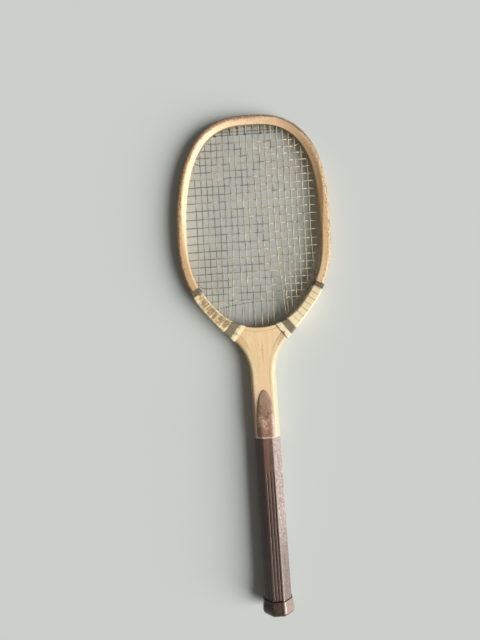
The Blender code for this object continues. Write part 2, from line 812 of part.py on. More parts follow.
def tongue_half(up):
    """Half the tongue's width at its foot: full at the handle, closing in a blunt arch."""
    share = min((up - HANDLE_UP) / TONGUE_LENGTH, 1.0)
    return max(scale_half(HANDLE_UP) * math.sqrt(1 - share**TONGUE_POWER), TONGUE_TIP)


def scale_half(up):
    """Half the width of the front scale's flat back, where the octagon's slope meets it."""
    return facet_half(up) + HANDLE_HALF_DEPTH - HALF_DEPTH - CLEARANCE


def scale_section(half_foot, y, height, side):
    """The front or back scale's outline: a flat foot on the shaft, 45 degree slopes and a facet."""
    foot = HALF_DEPTH + CLEARANCE
    top = max(half_foot - height, half_foot * TONGUE_RIDGE)
    return [Vector((x, y, side * z)) for x, z in (
        (-half_foot, foot), (half_foot, foot), (top, foot + height), (-top, foot + height))]


def build_scale(name, side, flutes):
    """A front or back scale, with its tapered tongue on the shaft."""
    full = HANDLE_HALF_DEPTH - HALF_DEPTH - CLEARANCE
    rings = [scale_section(scale_half(WOOD_END_UP), WOOD_END_UP - LENGTH / 2, full, side)]
    for k in range(TONGUE_RINGS + 1):
        share = math.sin(math.pi / 2 * k / TONGUE_RINGS)
        up = HANDLE_UP + TONGUE_LENGTH * share
        height = full + (TONGUE_TIP - full) * share
        rings.append(scale_section(tongue_half(up), up - LENGTH / 2, height, side))
    scale = place(name, loft(name, rings), "handle")
    cut(scale, flutes)


def flute_mesh(side):
    """Round-bottomed grooves down the middle facet, from a hand's width below the shaft to the butt."""
    radius = (FLUTE_WIDTH**2 / 4 + FLUTE_DEPTH**2) / (2 * FLUTE_DEPTH)
    height = side * (HANDLE_HALF_DEPTH - FLUTE_DEPTH + radius)
    shapes = []
    for k in range(FLUTE_COUNT):
        x = (k - (FLUTE_COUNT - 1) / 2) * FLUTE_PITCH
        start = Vector((x, -LENGTH / 2, height))
        end = Vector((x, FLUTE_TOP_UP - LENGTH / 2, height))
        shapes.append(prism(start, end, radius, 12, 0.5))
    return joined("flutes", shapes)


def build_side_scale(name, side):
    """A side scale: it fills the octagon beside the rebated tail, between the front and back scales."""
    inner = SHAFT_HALF - TAIL_REBATE + CLEARANCE
    slope = TAIL_CHAMFER
    foot = HALF_DEPTH
    rings = []
    for up in (WOOD_END_UP, HANDLE_UP - 2 * CLEARANCE):
        half = handle_half(up)
        edge = facet_half(up) + HANDLE_HALF_DEPTH - half
        brow = scale_half(up) + CLEARANCE
        lap = inner - slope + CLEARANCE / 2
        profile = [(half, -edge), (half, edge), (brow, foot), (lap, foot), (inner, foot - slope),
                   (inner, slope - foot), (lap, -foot), (brow, -foot)]
        rings.append([Vector((side * x, up - LENGTH / 2, z)) for x, z in profile])
    place(name, loft(name, rings), "handle")


def octagon(grow, up):
    """The handle's outline at the butt, made larger all round by grow, and set this far up."""
    corner = grow * math.tan(math.pi / 8)
    facet = HANDLE_FACET_BUTT / 2 + corner
    wide, deep = HANDLE_WIDTH_BUTT / 2 + grow, HANDLE_HALF_DEPTH + grow
    edge = facet + deep - wide
    return [Vector((x, up - LENGTH / 2, z)) for x, z in (
        (facet, deep), (wide, edge), (wide, -edge), (facet, -deep),
        (-facet, -deep), (-wide, -edge), (-wide, edge), (-facet, deep))]


def build_cap():
    """The cap: a flared cup over the butt end, its outer edge well rounded."""
    wall = CLEARANCE + CAP_WALL
    full = wall + CAP_FLARE
    rings = [octagon(CLEARANCE, CAP_FLOOR), octagon(CLEARANCE, CAP_LENGTH),
             octagon(wall, CAP_LENGTH), octagon(full, CAP_FLARE_UP)]
    for angle in (0, 30, 60, 90):
        turn = math.radians(angle)
        inset = CAP_ROUND * (1 - math.cos(turn))
        rings.append(octagon(full - inset, CAP_ROUND * (1 - math.sin(turn))))
    place("butt_cap", loft("butt_cap", rings), "cap")


def build_strings(mains, crosses):
    """The laced strings; the thin rows are built with their holes."""
    wire("main_string", laced(mains, -1, 1 if MAIN_COUNT % 2 == 0 else -1), STRING_DIAMETER, "gut")
    wire("cross_string", laced(crosses, -1, 1), STRING_DIAMETER, "gut")


def string_hole_meshes(pairs):
    """Cutters for the strings' holes, a little longer than the wood is thick."""
    radius = (STRING_DIAMETER / 2 + HOLE_CLEARANCE) / math.cos(math.pi / 6)
    shapes = []
    for pair in pairs:
        for hole in pair:
            axis = (hole.out - hole.mouth).normalized()
            shapes.append(prism(hole.mouth - axis * STRING_SET_IN / 2, hole.out + axis * radius, radius))
    return shapes


def build_bindings(holes):
    for side, word in ((-1, "left"), (1, "right")):
        bands = BINDINGS[side]
        thread_band(f"upper_thread_{word}", bands["upper_thread"], UPPER_THREAD_LOOPS)
        thread_band(f"lower_thread_{word}", bands["lower_thread"], LOWER_THREAD_LOOPS)
        tape_wrap(f"long_wrap_{word}", bands["long_wrap"], LONG_WRAP_LOOPS, LONG_WRAP_TAPE, holes)
        tape_wrap(f"short_wrap_{word}", bands["short_wrap"], SHORT_WRAP_LOOPS, SHORT_WRAP_TAPE, holes)


def main():
    taken = []
    mains, crosses = main_holes(taken), cross_holes(taken)
    top_row, top_holes = treble(CROWN_INNER_UP - TREBLE_TOP_MARGIN, 0.0)
    bottom_row, bottom_holes = treble(YOKE_UP + TREBLE_BOTTOM_MARGIN, TREBLE_BOTTOM_RISE)
    shapes = string_hole_meshes(mains) + string_hole_meshes(crosses) + top_holes + bottom_holes
    holes = cutter("string_holes", joined("string_holes", shapes))
    build_bow(cutter("string_groove", groove_mesh()), holes)
    build_yoke(holes)
    build_wedge(cutter("string_pockets", pocket_mesh(mains)))
    build_bindings(holes)
    for name, side in (("handle_front", 1), ("handle_back", -1)):
        build_scale(name, side, cutter(f"flutes_{name}", flute_mesh(side)))
    for name, side in (("handle_left", -1), ("handle_right", 1)):
        build_side_scale(name, side)
    build_cap()
    build_strings(mains, crosses)
    wire("treble_top", top_row, TREBLE_DIAMETER, "gut")
    wire("treble_bottom", bottom_row, TREBLE_DIAMETER, "gut")


for old in list(bpy.data.objects):
    bpy.data.objects.remove(old, do_unlink=True)
ROOT = bpy.data.objects.new("racket", None)
ROOT.matrix_world = Matrix.Translation((0, 0, MID_HEIGHT))
bpy.context.collection.objects.link(ROOT)
main()
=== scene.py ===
"""An old wooden tennis racket, dressed: its woods, wound bindings, gut strings and a plain studio.

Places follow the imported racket: x is ACROSS, y runs from the butt to the tip of the head, and UP is the
same direction measured from the butt end. A HEIGHT is measured from the mid-plane of the wood. Metres.
"""

import logging
import math
import random
from dataclasses import dataclass, field
from enum import Enum
from typing import Any, Callable, Sequence

import bmesh
import bpy
import numpy as np
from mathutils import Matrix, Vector, noise


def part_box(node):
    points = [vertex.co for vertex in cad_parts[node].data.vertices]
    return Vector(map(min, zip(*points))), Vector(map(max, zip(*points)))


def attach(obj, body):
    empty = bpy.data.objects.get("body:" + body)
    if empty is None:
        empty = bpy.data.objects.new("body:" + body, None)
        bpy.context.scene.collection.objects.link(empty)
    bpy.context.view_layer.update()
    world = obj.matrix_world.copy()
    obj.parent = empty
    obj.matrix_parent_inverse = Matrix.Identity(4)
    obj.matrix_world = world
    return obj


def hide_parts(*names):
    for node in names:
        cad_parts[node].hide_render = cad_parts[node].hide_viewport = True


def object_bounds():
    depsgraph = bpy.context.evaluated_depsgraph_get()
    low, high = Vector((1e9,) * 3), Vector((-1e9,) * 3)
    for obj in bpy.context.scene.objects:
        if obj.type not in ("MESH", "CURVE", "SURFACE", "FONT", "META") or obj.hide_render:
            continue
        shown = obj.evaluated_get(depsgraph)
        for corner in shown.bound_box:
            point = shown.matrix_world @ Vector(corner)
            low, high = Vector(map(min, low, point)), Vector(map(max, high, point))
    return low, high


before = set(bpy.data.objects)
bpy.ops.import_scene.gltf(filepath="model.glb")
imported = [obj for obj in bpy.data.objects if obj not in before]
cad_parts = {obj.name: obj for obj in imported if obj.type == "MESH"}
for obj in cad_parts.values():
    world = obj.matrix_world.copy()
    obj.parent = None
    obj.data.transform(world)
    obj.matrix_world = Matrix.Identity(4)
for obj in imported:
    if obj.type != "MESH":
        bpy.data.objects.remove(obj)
CAD_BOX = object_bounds()
LENGTH = CAD_BOX[1].y - CAD_BOX[0].y
MID = (CAD_BOX[0].z + CAD_BOX[1].z) / 2
LOG = logging.getLogger("racket")
SHARP_ANGLE = math.radians(42)
QUARTER = math.pi / 2
NEAR = 1e-9
HALVINGS = 40
CORNER_REACH = 0.45
BEND_STEPS = 3

Colour = tuple[float, float, float]
Array = np.ndarray
Piece = bpy.types.Object


class Named(Enum):
    """Options whose names go into the names of pieces."""

    @property
    def word(self) -> str:
        """The option in lower case."""
        return self.name.lower()


class Side(Named):
    """Left or right, as seen from the front with the head on top."""

    LEFT = -1
    RIGHT = 1


class Face(Named):
    """The front or the back of the racket."""

    FRONT = 1
    BACK = -1


def smooth(low: float, high: float, value: Any) -> Any:
    """An S-shaped step of a number or an array: 0 at low, 1 at high, with a smooth rise between."""
    share = np.clip((value - low) / (high - low), 0.0, 1.0)
    return share * share * (3 - 2 * share)


def size_of(vectors: Array) -> Array:
    """The lengths of vectors, one number for each."""
    return np.linalg.norm(vectors, axis=-1, keepdims=True)


def waver(*place: float) -> float:
    """Smooth noise from -1 to 1 at a place in space."""
    return noise.noise(Vector(place))


def holds_until(low: float, high: float, test: Callable[[float], bool]) -> float:
    """How far a test holds.

    Args:
        low: where it holds.
        high: where it no longer does.
        test: the test of a number.

    Returns:
        The last number on the way from low to high that passes.
    """
    for _ in range(HALVINGS):
        middle = (low + high) / 2
        low, high = (middle, high) if test(middle) else (low, middle)
    return low


def cubic(steps: int, *handles: Sequence[float]) -> Array:
    """A flat curve with four handles, (steps, 2), without its last point."""
    t = (np.arange(steps) / steps)[:, None]
    a, b, c, d = (np.array(handle) for handle in handles)
    return (1 - t) ** 3 * a + 3 * (1 - t) ** 2 * t * b + 3 * (1 - t) * t * t * c + t**3 * d


def cut_corners(corners: Array, before: Array, after: Array, reach: Any, steps: int) -> Array:
    """Puts a short curve in place of each corner.

    Args:
        corners: (..., 2) or (..., 3) places.
        before: the place that each corner's line comes from.
        after: the place that it goes to.
        reach: how far from the corner its curve starts.
        steps: segments of each curve.

    Returns:
        The curves' places, with one more dimension than the corners.
    """
    legs = []
    for other in (before, after):
        leg = other - corners
        legs.append(corners + leg * np.minimum(reach / np.maximum(size_of(leg), NEAR), CORNER_REACH))
    start, corner, end = (points[..., None, :] for points in (legs[0], corners, legs[1]))
    share = np.linspace(0, 1, steps + 1)[:, None]
    return (1 - share) ** 2 * start + 2 * share * (1 - share) * corner + share**2 * end


def rounded(corners: Array, radii: Sequence[float] | Array, steps: int) -> Array:
    """Rounds the corners of closed outlines.

    Args:
        corners: (outlines, corners, 2) places.
        radii: how far from each corner its curve starts, for all the outlines or for each.
        steps: segments of each curve.

    Returns:
        (outlines, corners * (steps + 1), 2) places.
    """
    reach = np.atleast_2d(np.asarray(radii, float))[:, :, None]
    curves = cut_corners(corners, np.roll(corners, 1, axis=1), np.roll(corners, -1, axis=1), reach, steps)
    return curves.reshape(len(corners), -1, 2)


def bend_round(path: Array, radius: float) -> Array:
    """Rounds the inner corners of an open line in space, (points, 3)."""
    curves = cut_corners(path[1:-1], path[:-2], path[2:], radius, BEND_STEPS)
    return np.concatenate([path[:1], curves.reshape(-1, 3), path[-1:]])


def sections(places: Sequence[tuple[Any, Any]]) -> Array:
    """The corners of sections, (sections, corners, 2), from each corner's two numbers or arrays."""
    count = np.broadcast_shapes(*(np.shape(value) for place in places for value in place))
    columns = [np.stack([np.broadcast_to(value, count) for value in place], axis=1) for place in places]
    return np.stack(columns, axis=1)


def upright(across: Array, ups: Array, height: Array) -> Array:
    """Sections, (sections, points, 3), that stand square to the racket at places up from its butt."""
    y = np.broadcast_to(ups[:, None] - LENGTH / 2, across.shape)
    return np.stack([across, y, MID + height], axis=2)


def square_to(axis: Array) -> tuple[Array, Array]:
    """Two directions square to an axis and to each other."""
    side = np.cross(axis, (0.0, 0.0, 1.0))
    side /= np.linalg.norm(side)
    return side, np.cross(axis, side)


def circle(angles: Array, side: Array, other: Array) -> Array:
    """Directions, (angles, 3), round a circle that two square directions span."""
    return np.outer(np.cos(angles), side) + np.outer(np.sin(angles), other)


def run_along(points: Array) -> Array:
    """How far along a line each of its points is."""
    return np.concatenate([[0.0], np.cumsum(np.linalg.norm(np.diff(points, axis=0), axis=1))])


def placed(name: str, data: bpy.types.ID) -> Piece:
    """Makes an object in the scene."""
    made = bpy.data.objects.new(name, data)
    bpy.context.scene.collection.objects.link(made)
    return made


def store(mesh: bpy.types.Mesh, name: str, values: Array) -> None:
    """Writes an attribute that the finishes read.

    Args:
        mesh: the mesh that gets it.
        name: grain, a place in the material, or seam, how far the nearest glued joint is.
        values: one place or number for each vertex.
    """
    kind, key = ("FLOAT", "value") if values.ndim == 1 else ("FLOAT_VECTOR", "vector")
    kept = mesh.attributes.get(name) or mesh.attributes.new(name, kind, "POINT")
    kept.data.foreach_set(key, np.asarray(values, np.float32).ravel())


def weigh(piece: Piece) -> None:
    """Lets a piece's large faces shade flat beside its rounded edges, and keeps its corners crisp."""
    piece.data.set_sharp_from_angle(angle=SHARP_ANGLE)
    flat = piece.modifiers.new("flat_faces", "WEIGHTED_NORMAL")
    flat.mode = "FACE_AREA"
    flat.keep_sharp = True


class Body:
    """Vertices, faces and grain of a piece while it is put together from lofts and tubes."""

    def __init__(self) -> None:
        """Starts with nothing."""
        self.points: list[Array] = []
        self.grains: list[Array] = []
        self.faces: list[list[int]] = []
        self.count = 0

    def loft(self, rings: Array, grain: Array | None = None) -> "Body":
        """Adds a closed skin through rings of points.

        Args:
            rings: (rings, points, 3) places.
            grain: where each point lies in the material, along, across and through it; its place if None.

        Returns:
            This body.
        """
        count, size = rings.shape[:2]
        index = np.arange(count * size).reshape(count, size) + self.count
        turned = np.roll(index, -1, axis=1)
        quads = np.stack([index[:-1], turned[:-1], turned[1:], index[1:]], axis=2).reshape(-1, 4)
        self.faces += [*quads.tolist(), index[0][::-1].tolist(), index[-1].tolist()]
        self.points.append(rings.reshape(-1, 3))
        self.grains.append((rings if grain is None else grain).reshape(-1, 3))
        self.count += count * size
        return self

    def tube(self, path: Array, radius: float, sides: int = 8) -> "Body":
        """Adds a round string or thread.

        Args:
            path: (points, 3) places along its middle.
            radius: half its thickness.
            sides: points of each ring.

        Returns:
            This body.
        """
        ahead = np.gradient(path, axis=0)
        ahead /= np.maximum(size_of(ahead), NEAR / 1000)
        side = np.cross(ahead[0], (0.0, 0.0, 1.0))
        if np.linalg.norm(side) < 0.1:
            side = np.cross(ahead[0], (1.0, 0.0, 0.0))
        angles = np.arange(sides) * math.tau / sides
        spokes = radius * np.column_stack([np.cos(angles), np.sin(angles)])
        rings, grain = [], []
        for centre, direction, run in zip(path, ahead, run_along(path)):
            side = side - direction * side.dot(direction)
            side /= np.linalg.norm(side)
            rings.append(centre + circle(angles, side, np.cross(direction, side)) * radius)
            grain.append(np.column_stack([np.full(sides, run), spokes]))
        return self.loft(np.array(rings), np.array(grain))

    def piece(self, name: str, flat_faces: bool = False) -> Piece:
        """Makes the object.

        Args:
            name: the piece's name.
            flat_faces: whether large faces shade flat beside their rounded edges.

        Returns:
            A smooth-shaded mesh object with its faces pointing out and a grain attribute.
        """
        mesh = bpy.data.meshes.new(name)
        mesh.from_pydata(np.concatenate(self.points).tolist(), [], self.faces)
        shape = bmesh.new()
        shape.from_mesh(mesh)
        bmesh.ops.recalc_face_normals(shape, faces=shape.faces)
        shape.to_mesh(mesh)
        shape.free()
        store(mesh, "grain", np.concatenate(self.grains))
        mesh.shade_smooth()
        made = placed(name, mesh)
        if flat_faces:
            weigh(made)
        return made

    def drilled(self, name: str, drills: "Body") -> tuple[Piece, Array]:
        """Makes the object with holes in it.

        Args:
            name: the piece's name.
            drills: closed shapes of the holes.

        Returns:
            The object, and where its vertices are.
        """
        piece, tool = self.piece(name), drills.piece("drills")
        cut = piece.modifiers.new("drills", "BOOLEAN")
        cut.operation = "DIFFERENCE"
        cut.solver = "EXACT"
        cut.object = tool
        seen = piece.evaluated_get(bpy.context.evaluated_depsgraph_get())
        mesh = bpy.data.meshes.new_from_object(seen)
        piece.modifiers.clear()
        piece.data = mesh
        bpy.data.objects.remove(tool)
        return piece, np.array([vertex.co for vertex in mesh.vertices])


def settle(piece: Piece, grain: Array, seam: Array) -> Piece:
    """Gives a drilled piece its grain, its distances from the glued joints and flat large faces.

    Args:
        piece: the drilled piece.
        grain: a place in the wood for each vertex.
        seam: how far each vertex is from the nearest joint.

    Returns:
        The piece.
    """
    store(piece.data, "grain", grain)
    store(piece.data, "seam", seam)
    weigh(piece)
    return piece


class Kind(Enum):
    """What a socket of a material carries."""

    NUMBER = "VALUE"
    VECTOR = "VECTOR"
    COLOUR = "RGBA"

    @classmethod
    def of(cls, value: Any) -> "Kind":
        """What a signal, a number or a tuple is in an expression."""
        if isinstance(value, Signal):
            return cls(value.socket.type)
        return cls.VECTOR if isinstance(value, tuple) else cls.NUMBER


class Signal:
    """An output socket in an expression: each operator adds the node that works it out."""

    def __init__(self, graph: "Graph", socket: bpy.types.NodeSocket) -> None:
        """Wraps a socket of a graph."""
        self.graph = graph
        self.socket = socket

    def joined(self, operation: str, first: Any, second: Any) -> "Signal":
        """Adds the node that joins two operands.

        Args:
            operation: ADD, SUBTRACT, MULTIPLY, DIVIDE or another that the node knows.
            first: a signal, a number or a tuple.
            second: the same.

        Returns:
            The node's output.
        """
        kinds = {Kind.of(first), Kind.of(second)}
        if Kind.COLOUR in kinds:
            settings = {"data_type": "RGBA", "blend_type": operation}
            return self.graph.add("ShaderNodeMix", settings, {0: 1.0, 6: first, 7: second}, 2)
        node = "ShaderNodeVectorMath" if Kind.VECTOR in kinds else "ShaderNodeMath"
        return self.graph.add(node, {"operation": operation}, {0: first, 1: second})

    def __add__(self, other: Any) -> "Signal":
        """self + other."""
        return self.joined("ADD", self, other)

    def __radd__(self, other: Any) -> "Signal":
        """other + self."""
        return self.joined("ADD", other, self)

    def __sub__(self, other: Any) -> "Signal":
        """self - other."""
        return self.joined("SUBTRACT", self, other)

    def __rsub__(self, other: Any) -> "Signal":
        """other - self."""
        return self.joined("SUBTRACT", other, self)

    def __mul__(self, other: Any) -> "Signal":
        """self * other."""
        return self.joined("MULTIPLY", self, other)

    def __rmul__(self, other: Any) -> "Signal":
        """other * self."""
        return self.joined("MULTIPLY", other, self)

    def __truediv__(self, other: Any) -> "Signal":
        """self / other."""
        return self.joined("DIVIDE", self, other)

    def __rtruediv__(self, other: Any) -> "Signal":
        """other / self."""
        return self.joined("DIVIDE", other, self)

    def __abs__(self) -> "Signal":
        """The number without its sign."""
        return self.graph.add("ShaderNodeMath", {"operation": "ABSOLUTE"}, {0: self})

    def least(self, other: Any) -> "Signal":
        """The smaller of two numbers."""
        return self.joined("MINIMUM", self, other)

    def wave(self) -> "Signal":
        """The sine of the number."""
        return self.graph.add("ShaderNodeMath", {"operation": "SINE"}, {0: self})

    def step(self, low: float, high: float) -> "Signal":
        """An S-shaped step of the number, from 0 at low to 1 at high; high may be below low."""
        settings = {"interpolation_type": "SMOOTHSTEP", "clamp": True}
        ends = (low, high, 0.0, 1.0) if low < high else (high, low, 1.0, 0.0)
        return self.graph.add("ShaderNodeMapRange", settings, dict(enumerate((self, *ends))))

    def around(self, middle: Any, spread: float) -> "Signal":
        """A value that this noise moves about a middle, by half the spread each way."""
        return middle + (self - 0.5) * spread

    def parts(self) -> tuple["Signal", "Signal", "Signal"]:
        """The three numbers of a vector."""
        first = self.graph.add("ShaderNodeSeparateXYZ", {}, {0: self})
        return (first, *(Signal(self.graph, first.socket.node.outputs[k]) for k in (1, 2)))


class Graph:
    """A material's nodes, with a Principled shader at their end."""

    def __init__(self, name: str) -> None:
        """Makes the material and its shader."""
        self.material = bpy.data.materials.new(name)
        self.material.use_nodes = True
        self.tree = self.material.node_tree
        self.shader = self.tree.nodes["Principled BSDF"]

    def add(self, kind: str, settings: dict[str, Any], values: dict[Any, Any], output: Any = 0) -> Signal:
        """Adds a node.

        Args:
            kind: its type, such as ShaderNodeTexNoise.
            settings: its properties, which are set first.
            values: what its inputs hold or are linked to, by name or number.
            output: the name or number of the output that is wanted.

        Returns:
            That output.
        """
        node = self.tree.nodes.new(kind)
        for name, value in settings.items():
            setattr(node, name, value)
        for key, value in values.items():
            self.feed(node.inputs[key], value)
        return Signal(self, node.outputs[output])

    def feed(self, socket: bpy.types.NodeSocket, value: Any) -> None:
        """Links a signal to an input, or sets the input to a number or a tuple.

        Args:
            socket: the input.
            value: what it gets; a number stands for three where it is due.
        """
        if isinstance(value, Signal):
            self.tree.links.new(value.socket, socket)
            return
        several = value if hasattr(value, "__len__") else (value,) * 3
        fitting = {Kind.COLOUR.value: (*several, 1.0), Kind.VECTOR.value: several}
        socket.default_value = fitting.get(socket.type, value)

    def shade(self, base_color: Any, roughness: Any, relief: tuple[Signal, float] | None = None,
              **others: Any) -> None:
        """Sets or links the shader's inputs.

        Args:
            base_color: the surface's colour.
            roughness: its roughness.
            relief: a height from 0 to 1, and the depth in metres that it stands for.
            others: more inputs, where coat_weight stands for Coat Weight, and so on.
        """
        if relief:
            values = {"Height": relief[0], "Distance": relief[1], "Strength": 1.0}
            others["normal"] = self.add("ShaderNodeBump", {}, values)
        for name, value in {"base_color": base_color, "roughness": roughness, **others}.items():
            self.feed(self.shader.inputs["IOR" if name == "ior" else name.replace("_", " ").title()], value)

    def grain(self) -> Signal:
        """The place in the material: along it, across it and through it."""
        return self.add("ShaderNodeAttribute", {"attribute_name": "grain"}, {}, "Vector")

    def seam(self) -> Signal:
        """How far the nearest glued joint is."""
        return self.add("ShaderNodeAttribute", {"attribute_name": "seam"}, {}, "Fac")

    def place(self) -> Signal:
        """The place on the racket."""
        return self.add("ShaderNodeTexCoord", {}, {}, "Object")

    def cloud(self, where: Signal, detail: float = 2.0, rough: float = 0.5) -> Signal:
        """Noise from 0 to 1 around 0.5, with features one unit of where in size."""
        values = {"Vector": where, "Scale": 1.0, "Detail": detail, "Roughness": rough}
        return self.add("ShaderNodeTexNoise", {"noise_dimensions": "3D"}, values)

    def dots(self, where: Signal) -> Signal:
        """The distance to the nearest of scattered points, one to each unit of where."""
        values = {"Vector": where, "Scale": 1.0}
        return self.add("ShaderNodeTexVoronoi", {"feature": "F1"}, values, "Distance")

    def layer(self, colour: Any, *coats: tuple[Any, Any]) -> Signal:
        """A colour under coats of further ones, each given with the share that it hides."""
        for coat, share in coats:
            colour = self.add("ShaderNodeMix", {"data_type": "RGBA"}, {0: share, 6: colour, 7: coat}, 2)
        return colour


@dataclass(frozen=True)
class Finish:
    """A surface finish: its name and the record's slot that it belongs to."""

    name: str
    slot: str

    def paint(self, graph: Graph) -> None:
        """Builds the material's nodes."""
        raise NotImplementedError

    def dress(self, piece: Piece) -> None:
        """Gives a piece this finish.

        Args:
            piece: the object that wears it.
        """
        material = bpy.data.materials.get(self.name)
        if material is None:
            graph = Graph(self.name)
            self.paint(graph)
            material = graph.material
        piece.data.materials.clear()
        piece.data.materials.append(material)


@dataclass(frozen=True)
class Wood(Finish):
    """Varnished wood with its grain along the piece."""

    pale: Colour
    deep: Colour
    pore: Colour
    roughness: float
    gloss: float

    def base(self, graph: Graph, where: Signal) -> tuple[Signal, Signal]:
        """The wood's own colour, before wear, and its relief.

        Args:
            graph: the material's nodes.
            where: the place in the wood.

        Returns:
            The colour, streaked and pored, and a height from 0 to 1.
        """
        sway = graph.cloud(where * (7.0, 30.0, 30.0)) * 0.9
        broad = graph.cloud(where * (11.0, 190.0, 190.0) + sway, 3.0)
        fine = graph.cloud(where * (45.0, 1300.0, 1300.0) + sway, 3.0, 0.6)
        pores = graph.cloud(where * (190.0, 2600.0, 2600.0), 2.0).step(0.60, 0.70)
        streaks = broad * 0.6 + fine * 0.4
        colour = graph.layer(self.deep, (self.pale, streaks.step(0.26, 0.74)), (self.pore, pores * 0.45))
        return colour, streaks * 0.5 + (1.0 - pores) * 0.5

    def joint(self, graph: Graph, ragged: Signal) -> Signal:
        """A mask of the dirt along glued joints, with a ragged edge and fainter down the shaft."""
        _, along, _ = graph.place().parts()
        return ragged.around(graph.seam(), 0.0009).step(0.0008, 0.0) * (0.35 + 0.65 * along.step(0.0, 0.045))


@dataclass(frozen=True)
class BentAsh(Wood):
    """The bow's ash: tan, dirtier towards its outer edge, ruddy at the crown, with specks and scuffs; painted
    highlights on the inner bevels that face the lamp and on the right outer edge, and painted shade along the
    left outer rim.
    """

    # dark brown: real dirt, and painted shade along the left outer rim
    dirt: Colour = (0.27, 0.155, 0.08)
    # near black: dirt, specks and the crack, painted shade along the left outer edge, and the dark of the
    # crown's inner wall
    grime: Colour = (0.10, 0.06, 0.035)
    ruddy: Colour = (0.86, 0.60, 0.41)
    warm: Colour = (0.78, 0.47, 0.22)
    # pale cream painted on the left inner bevel, which faces the lamp: a painted highlight
    cream: Colour = (1.0, 0.80, 0.505)
    # paler tone: paler wood on the lower right, and painted highlights on the inner lip and the right outer
    # edge where they face the lamp
    bleached: Colour = (0.80, 0.65, 0.42)
    # flank and cheek: duller tones painted on the shaft's right flank, which faces the lamp, to hold back its
    # glare: painted shade
    flank: Colour = (0.62, 0.585, 0.41)
    # dark brown painted on the shaft's left side near the handle: painted shade
    smeared: Colour = (0.31, 0.17, 0.15)
    cheek: Colour = (0.61, 0.51, 0.32)
    bare: Colour = (0.94, 0.75, 0.45)
    olive: Colour = (0.56, 0.41, 0.21)
    stain: Colour = (0.34, 0.20, 0.105)
    crack_at: tuple[float, float] = (0.0040, 0.319)

    def paint(self, graph: Graph) -> None:
        """Builds the material's nodes.

        Args:
            graph: the material's nodes.
        """
        where = graph.grain()
        _, offset, _ = where.parts()
        across, along, _ = graph.place().parts()
        colour, relief = self.base(graph, where)
        blotch = graph.cloud(where * (28.0, 90.0, 90.0), 4.0, 0.6)
        ragged = graph.cloud(where * (120.0, 300.0, 300.0), 4.0, 0.65)
        smudge = graph.cloud(where * (260.0, 420.0, 420.0), 4.0, 0.7)
        scuffs = graph.cloud(where * (420.0, 900.0, 900.0), 3.0, 0.7)
        mottle = graph.cloud(where * (330.0, 420.0, 420.0) + 5.0, 4.0, 0.75).step(0.42, 0.58)
        streaks = graph.cloud(where * (16.0, 480.0, 480.0), 3.0, 0.6).step(0.50, 0.68)

        head = along.step(0.075, 0.11)
        crown = along.step(0.235, 0.32)
        lower = along.step(0.20, 0.11) * head
        right = across.step(-0.01, 0.05)
        facing = across.step(0.045, -0.03)
        colour = graph.layer(
            colour, (self.warm, lower * (0.55 + 0.25 * facing)), (self.bleached, lower * right * 0.55),
            (self.warm, facing * head * 0.14), (self.olive, lower * facing * 0.5))
        colour = self.paint_tails(graph, colour, offset)

        # painted highlight: a cream band along the inner bevel on the left, where it faces the lamp, fainter
        # at the crown
        inner = ragged.around(offset, 0.002).step(0.0066, 0.0090) * along.step(0.13, 0.2)
        # painted highlight: a pale band on the inner lip, left out on the right, where the lip faces away
        # from the lamp
        lip = offset.step(0.0098, 0.0112) * offset.step(0.0126, 0.0120) * head * across.step(0.06, 0.03)
        # the right outer edge is paler in mottled patches: partly rubbed wear, partly a painted highlight
        # where the rounded edge faces the lamp
        outer = smudge.around(ragged.around(offset, 0.009), 0.004).step(0.0060, 0.0044) * head * right
        colour = graph.layer(
            colour, (self.ruddy, crown * (0.30 + 0.45 * blotch)),
            (self.stain, streaks * head * (0.20 + 0.10 * right)),
            (self.cream, inner * facing * (0.95 - 0.60 * crown)), (self.bleached, lip * 0.8),
            (self.bleached, outer * (0.10 + 0.75 * mottle)), (self.dirt, outer * (1.0 - mottle) * 0.30))

        # dirt along the outer rim, reaching further in on the left and held back on the right below the
        # crown: real dirt, with painted shade on the left, whose edge faces away from the lamp, and the right
        # edge kept bright where the lamp strikes it
        lamp_side = right * along.step(0.31, 0.25)
        reach = offset - along.step(0.15, 0.21) * (1.0 - right) * 0.0028
        rim = smudge.around(ragged.around(reach, 0.0070), 0.0040).step(0.0044, 0.0026)
        soiled = rim * (0.15 + 0.80 * head) * (0.5 + 0.5 * mottle) * (1.0 - 0.8 * lamp_side)
        # a dark line on the very outer edge, weaker on the right: dirt, and painted shade on the left, away
        # from the lamp
        edge = smudge.around(offset, 0.0060).step(0.0016, 0.0004) * head * (0.75 - 0.5 * lamp_side)
        specks = graph.dots(where * (300.0, 380.0, 380.0)).step(0.36, 0.20)
        sparse = (graph.cloud(where * (60.0, 140.0, 140.0), 3.0) + right * 0.05).step(0.46, 0.56)
        near_edge = (0.30 + 0.70 * offset.step(0.0080, 0.0045)) * (0.35 + 0.65 * head)
        depth, height = self.crack_at
        line = abs(blotch.around(offset - depth, 0.006)).step(0.0009, 0.0003)
        crack = line * abs(along - height).step(0.014, 0.009) * across.step(0.03, 0.05)
        # the crown's inner wall is painted dark
        wall = offset.step(0.0124, 0.0129) * head
        colour = graph.layer(
            colour, (self.dirt, soiled), (self.grime, edge), (self.grime, specks * sparse * near_edge * 0.9),
            (self.grime, crack * 0.85), (self.grime, wall * crown * 0.7),
            (self.stain, self.joint(graph, ragged) * 0.30))

        dents = relief * 0.3 + ragged * 0.3 + (1.0 - specks * sparse) * 0.2 + scuffs * 0.2
        graph.shade(colour, blotch.around(self.roughness, 0.25) + rim * 0.2, (dents, 0.00028),
                    coat_weight=self.gloss, coat_roughness=0.22, ior=1.5)

